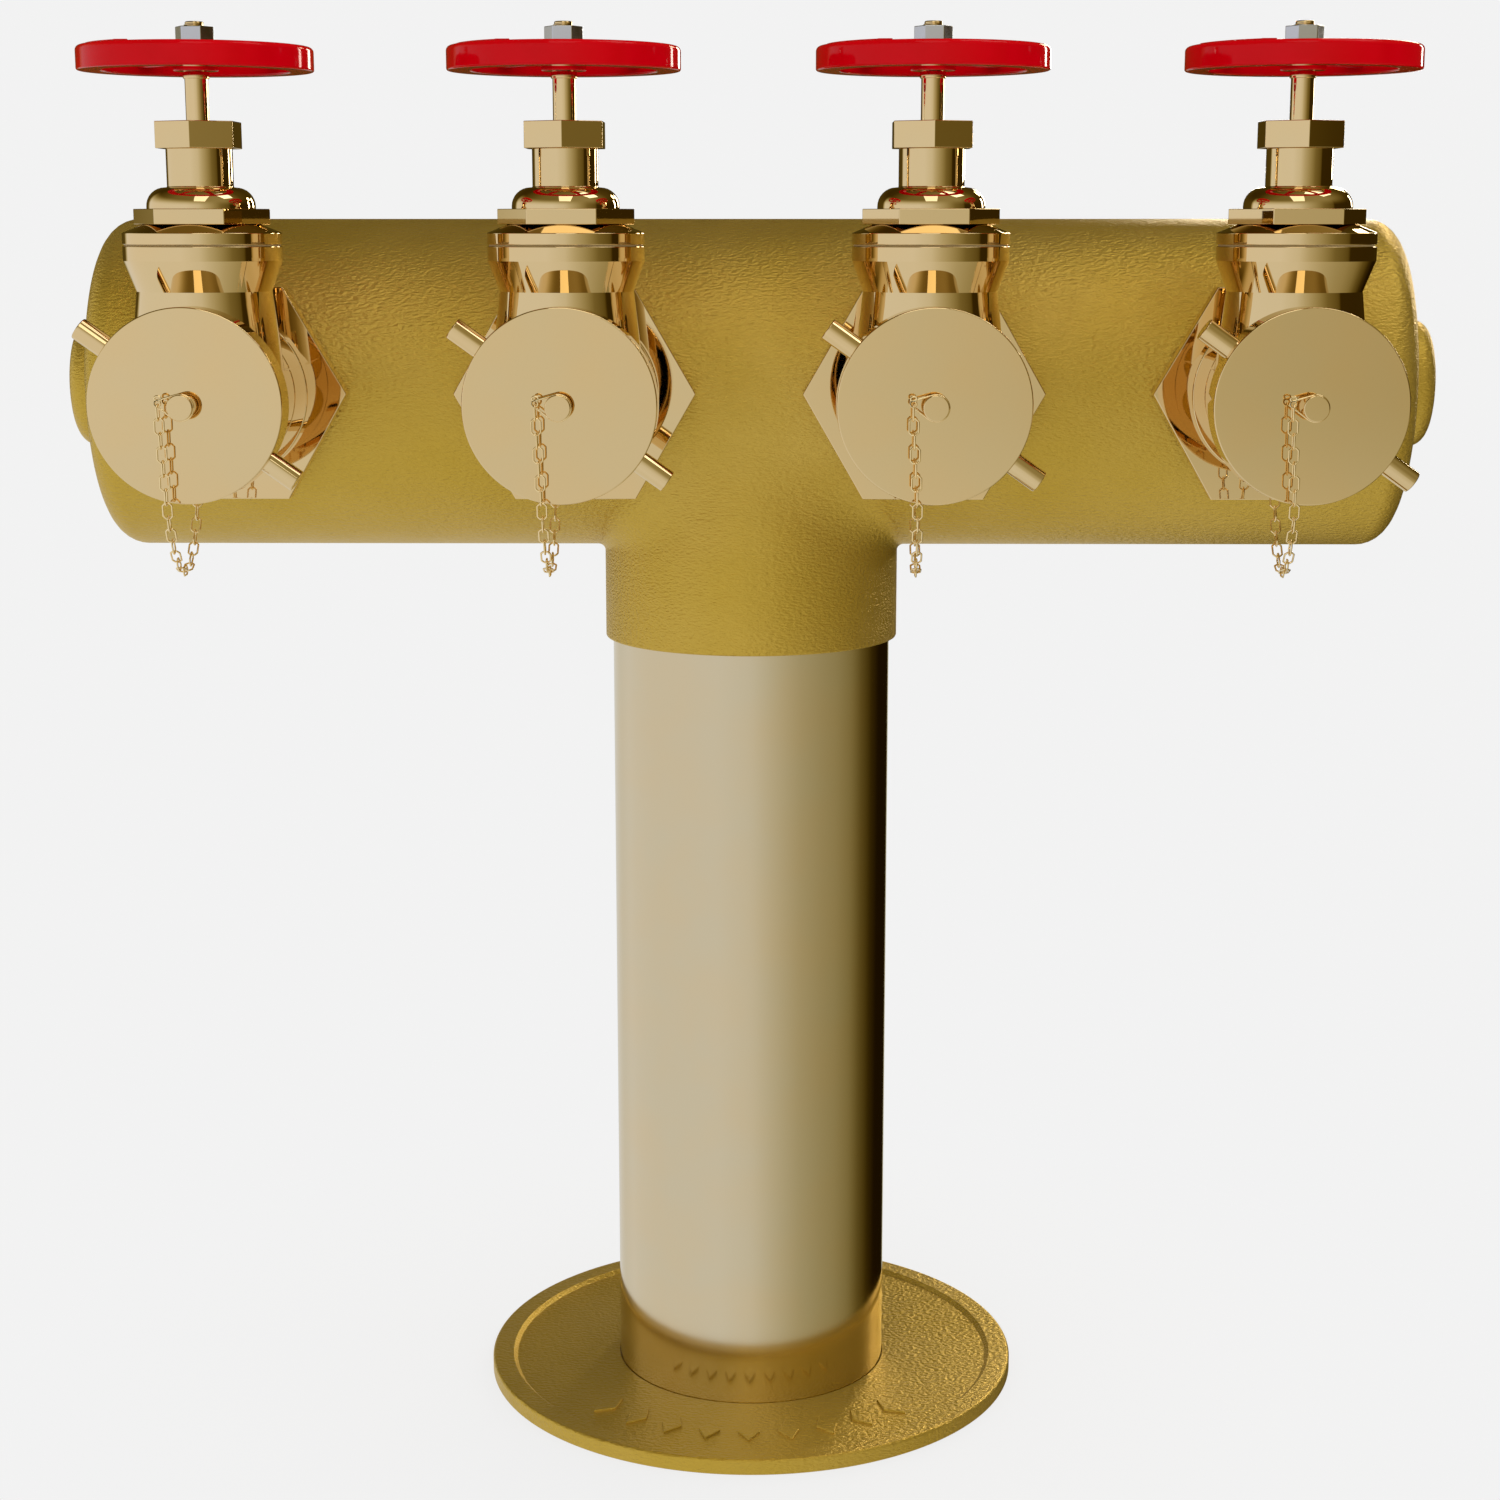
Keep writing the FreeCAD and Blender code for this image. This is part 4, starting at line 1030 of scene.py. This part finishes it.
for label, form, finish, node, slot in STAND_PIECES:
    add_piece(label, mesh_of(label, form(), finish), GROUND, "header", node)

VALVE_PIECES = (
    ("valve_body", valve_body, POLISHED, "header", "polished_brass"),
    ("bonnet", bonnet, POLISHED, "header", "polished_brass"),
    ("gland_nut", gland_nut, POLISHED, "header", "polished_brass"),
    ("stem", stem, POLISHED, "stem_{}", "polished_brass"),
    ("handwheel", handwheel, ENAMEL, "stem_{}", "red_enamel"),
    ("wheel_nut", wheel_nut, CHROME, "stem_{}", "chrome_plate"),
    ("cap", cap, POLISHED, "cap_{}", "polished_brass"),
    ("chain_stud", chain_stud, POLISHED, "cap_{}", "polished_brass"),
    ("chain_hook", chain_hook, CHAIN, "hook_{}", "chain_brass"),
)

for label, form, finish, body, slot in VALVE_PIECES:
    shared = mesh_of(label, form(), finish, WIRE_SHARP_ANGLE if label == "chain_hook" else SHARP_ANGLE)
    for number in VALVES:
        add_piece(f"{label}_form_{number}", shared, ORIGINS[number], body.format(number), f"{label}_{number}")


def add_chain(number, mesh):
    """Chain of links fixed in place at a valve, from the hook to the eye, standing for its hidden CAD chain.
    """
    piece = bpy.data.objects.new(f"chain_links_{number}", mesh)
    bpy.context.scene.collection.objects.link(piece)
    piece.location = ORIGINS[number]
    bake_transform(piece)
    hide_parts(f"chain_{number}")


strand = mesh_of("chain", chain(), CHAIN, WIRE_SHARP_ANGLE)
for number in VALVES:
    add_chain(number, strand.copy())

CARRIED_OVER = {"gate": POLISHED, "bonnet_gasket": FIBRE, "cap_gasket": GASKET, "gland_packing": PACKING}
for label, finish in CARRIED_OVER.items():
    for number in VALVES:
        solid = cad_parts[f"{label}_{number}"]
        solid.data.materials.clear()
        solid.data.materials.append(finish)


# Stage, lights and camera

BACKGROUND = (0.889, 0.889, 0.889)
AMBIENT = 0.8
FLOOR_HALF = 8.0
FLOOR_DROP = 0.0002
SHADOW_SHARE = 0.14
SHADOW_FULL = 0.15
SHADOW_GONE = 0.42
TENT_RADIUS = 2.6
TENT_HEIGHT = 0.45


def calculate(nodes, links, operation, *values):
    """Math node on sockets or plain numbers."""
    made = nodes.new("ShaderNodeMath")
    made.operation = operation
    for socket, value in zip(made.inputs, values):
        if isinstance(value, (int, float)):
            socket.default_value = value
        else:
            links.new(value, socket)
    return made.outputs[0]


def seen_directly(nodes, links):
    """1 for rays that come straight from the camera or by way of a mirror or glass, else 0."""
    rays = nodes.new("ShaderNodeLightPath").outputs
    mirrored = calculate(nodes, links, "MAXIMUM", rays["Is Camera Ray"], rays["Is Glossy Ray"])
    return calculate(nodes, links, "MAXIMUM", mirrored, rays["Is Transmission Ray"])


def add_floor():
    """Plain pale floor that keeps a faint shadow."""
    mesh = bpy.data.meshes.new("floor")
    corners = [(-FLOOR_HALF, -FLOOR_HALF, 0), (FLOOR_HALF, -FLOOR_HALF, 0), (FLOOR_HALF, FLOOR_HALF, 0),
               (-FLOOR_HALF, FLOOR_HALF, 0)]
    mesh.from_pydata(corners, [], [(0, 1, 2, 3)])
    floor = bpy.data.objects.new("floor", mesh)
    floor.location.z = -FLOOR_DROP
    bpy.context.scene.collection.objects.link(floor)
    floor.visible_glossy = False
    material, nodes, links, shader = new_material("floor", (0.9, 0.9, 0.9), 0.0, 0.9)
    glow = nodes.new("ShaderNodeEmission")
    glow.inputs["Color"].default_value = (*BACKGROUND, 1)
    mix = nodes.new("ShaderNodeMixShader")
    place = nodes.new("ShaderNodeTexCoord")
    distance = nodes.new("ShaderNodeVectorMath")
    distance.operation = "LENGTH"
    links.new(place.outputs["Object"], distance.inputs[0])
    plainness = nodes.new("ShaderNodeMapRange")
    plainness.inputs["From Min"].default_value = SHADOW_FULL
    plainness.inputs["From Max"].default_value = SHADOW_GONE
    plainness.inputs["To Min"].default_value = 1 - SHADOW_SHARE
    links.new(distance.outputs["Value"], plainness.inputs["Value"])
    share = calculate(nodes, links, "MULTIPLY", seen_directly(nodes, links), plainness.outputs["Result"])
    links.new(share, mix.inputs["Fac"])
    links.new(shader.outputs[0], mix.inputs[1])
    links.new(glow.outputs[0], mix.inputs[2])
    links.new(mix.outputs[0], nodes["Material Output"].inputs["Surface"])
    mesh.materials.append(material)


def remap(nodes, links, value, low, high, smooth=True):
    """Value taken from a range to 0..1, eased at both ends if smooth."""
    made = nodes.new("ShaderNodeMapRange")
    made.interpolation_type = "SMOOTHSTEP" if smooth else "LINEAR"
    made.inputs["From Min"].default_value = low
    made.inputs["From Max"].default_value = high
    links.new(value, made.inputs["Value"])
    return made.outputs["Result"]


def level_ramp(nodes, links, value, low, high, levels):
    """Brightness along a value, from (value, level) stops between two ends."""
    stops = [((at - low) / (high - low), (level, level, level)) for at, level in levels]
    return ramp(nodes, links, remap(nodes, links, value, low, high, False), *stops)


def blended(nodes, links, share, first, second):
    """Value that goes from the first to the second as a share goes from 0 to 1."""
    rest = calculate(nodes, links, "SUBTRACT", 1, share)
    return calculate(nodes, links, "ADD", calculate(nodes, links, "MULTIPLY", first, rest),
                     calculate(nodes, links, "MULTIPLY", second, share))


# brightness of the tent by degrees to the right of straight in front, above and below the horizon, and
# overhead from front to back and left to right
TENT_ABOVE = ((-180, 0.04), (-128, 0.06), (-118, 0.78), (-25, 0.78), (0, 0.68), (14, 0.50), (48, 0.16),
              (63, 0.105), (68, 0.08), (71, 0.022), (105, 0.02), (160, 0.02), (180, 0.06))
TENT_BELOW = ((-180, 0.7), (-140, 0.7), (-122, 0.78), (-84, 0.76), (-27, 0.76), (0, 0.71), (24, 0.55),
              (41, 0.44), (60, 0.36), (75, 0.31), (91, 0.22), (104, 0.10), (119, 0.025), (132, 0.006),
              (162, 0.005), (168, 0.7), (180, 0.7))
TENT_OVERHEAD = ((-1, 0.3), (-0.4, 0.28), (0, 0.16), (0.4, 0.06), (1, 0.03))
TENT_SIDEWAYS = ((-1, 0.45), (-0.25, 0.55), (0, 0.715), (0.25, 0.93), (1, 1.0))
TENT_WARMTH = (0.85, 1.0, 1.7)
TENT_NEUTRAL = 0.76
TENT_UNDER = 0.7
HORIZON_BAND = (-0.12, 0.0)
ROOF_BAND = (0.2, 0.65)
UNDER_BAND = (-0.55, -0.95)


def add_tent():
    """Shell that only mirrors see: bright on the left and in front, dark on the right and behind."""
    shape = bmesh.new()
    bmesh.ops.create_uvsphere(shape, u_segments=64, v_segments=32, radius=TENT_RADIUS)
    mesh = bpy.data.meshes.new("tent")
    shape.to_mesh(mesh)
    shape.free()
    tent = bpy.data.objects.new("tent", mesh)
    tent.location.z = TENT_HEIGHT
    bpy.context.scene.collection.objects.link(tent)
    tent.visible_camera = False
    tent.visible_diffuse = False
    tent.visible_shadow = False
    tent.visible_transmission = False
    material = bpy.data.materials.new("tent")
    material.use_nodes = True
    nodes, links = material.node_tree.nodes, material.node_tree.links
    nodes.remove(nodes["Principled BSDF"])
    place = nodes.new("ShaderNodeTexCoord")
    direction = nodes.new("ShaderNodeVectorMath")
    direction.operation = "NORMALIZE"
    split = nodes.new("ShaderNodeSeparateXYZ")
    links.new(place.outputs["Object"], direction.inputs[0])
    links.new(direction.outputs["Vector"], split.inputs[0])
    right, back, up = split.outputs
    front = calculate(nodes, links, "MULTIPLY", back, -1)
    turn = calculate(nodes, links, "DEGREES", calculate(nodes, links, "ARCTAN2", right, front))
    around = blended(nodes, links, remap(nodes, links, up, *HORIZON_BAND),
                     level_ramp(nodes, links, turn, -180, 180, TENT_BELOW),
                     level_ramp(nodes, links, turn, -180, 180, TENT_ABOVE))
    overhead = calculate(nodes, links, "MULTIPLY", level_ramp(nodes, links, back, -1, 1, TENT_OVERHEAD),
                         level_ramp(nodes, links, right, -1, 1, TENT_SIDEWAYS))
    level = blended(nodes, links, remap(nodes, links, up, *ROOF_BAND), around, overhead)
    level = blended(nodes, links, remap(nodes, links, up, *UNDER_BAND), level, TENT_UNDER)
    share = calculate(nodes, links, "DIVIDE", level, TENT_NEUTRAL)
    warm = nodes.new("ShaderNodeCombineColor")
    for socket, power in zip(warm.inputs, TENT_WARMTH):
        links.new(calculate(nodes, links, "POWER", share, power), socket)
    glow = nodes.new("ShaderNodeEmission")
    glow.inputs["Strength"].default_value = TENT_NEUTRAL
    links.new(warm.outputs["Color"], glow.inputs["Color"])
    links.new(glow.outputs[0], nodes["Material Output"].inputs["Surface"])
    mesh.materials.append(material)


LAMP_TARGET = Vector((0, 0, 0.5))
WHITE = (1, 1, 1)
# name, place, size, power, whether mirrors see it, and colour
LAMPS = (
    ("key_left", (-1.3, -1.6, 1.5), (1.2, 1.2), 4, False, WHITE),
    ("box_front", (0.0, -1.39, 2.13), (0.8, 1.4), 4.5, True, WHITE),
    ("box_right", (1.1, -0.2, 2.55), (0.9, 1.2), 6.8, True, WHITE),
    ("rim_right", (0.7, 2.0, 1.0), (0.3, 0.6), 6, True, (1, 0.9, 0.72)),
    ("end_right", (1.6, 1.6, 1.0), (0.2, 0.6), 5, True, (1, 0.93, 0.8)),
    ("back_right", (1.0, 1.5, 1.4), (0.3, 0.3), 3, True, (1, 0.85, 0.55)),
)


def add_light(name, place, size, power, mirrored, color):
    """Soft lamp that points at the part's middle; mirrored ones show as highlights."""
    lamp = bpy.data.lights.new(name, "AREA")
    lamp.shape = "RECTANGLE"
    lamp.size, lamp.size_y = size
    lamp.energy = power
    lamp.color = color
    made = bpy.data.objects.new(name, lamp)
    made.location = place
    made.rotation_euler = (LAMP_TARGET - Vector(place)).to_track_quat("-Z", "Y").to_euler()
    made.visible_glossy = mirrored
    bpy.context.scene.collection.objects.link(made)


def add_world():
    """Pale background to the camera and to mirrors, and a plain level of light to everything else."""
    world = bpy.data.worlds.new("studio")
    world.use_nodes = True
    bpy.context.scene.world = world
    nodes, links = world.node_tree.nodes, world.node_tree.links
    plain = nodes["Background"]
    plain.inputs["Color"].default_value = (*WHITE, 1)
    plain.inputs["Strength"].default_value = AMBIENT
    shown = nodes.new("ShaderNodeBackground")
    shown.inputs["Color"].default_value = (*BACKGROUND, 1)
    shown.inputs["Strength"].default_value = 1
    mix = nodes.new("ShaderNodeMixShader")
    links.new(seen_directly(nodes, links), mix.inputs["Fac"])
    links.new(plain.outputs[0], mix.inputs[1])
    links.new(shown.outputs[0], mix.inputs[2])
    links.new(mix.outputs[0], nodes["World Output"].inputs["Surface"])


LENS = 63.36
SENSOR = 36
CAMERA_PLACE = (0.015, -1.4486, 0.652)
CAMERA_DIP = 11.3
CAMERA_TURN = 0.62


def add_camera():
    """Camera at the photograph's viewing angle."""
    lens = bpy.data.cameras.new("camera")
    lens.lens = LENS
    lens.sensor_width = SENSOR
    lens.clip_end = 100
    camera = bpy.data.objects.new("camera", lens)
    camera.location = CAMERA_PLACE
    camera.rotation_euler = (math.radians(90 - CAMERA_DIP), 0, math.radians(CAMERA_TURN))
    bpy.context.scene.collection.objects.link(camera)
    bpy.context.scene.camera = camera


add_floor()
add_tent()
add_world()
for lamp in LAMPS:
    add_light(*lamp)
add_camera()
bpy.context.scene.view_settings.view_transform = "Standard"
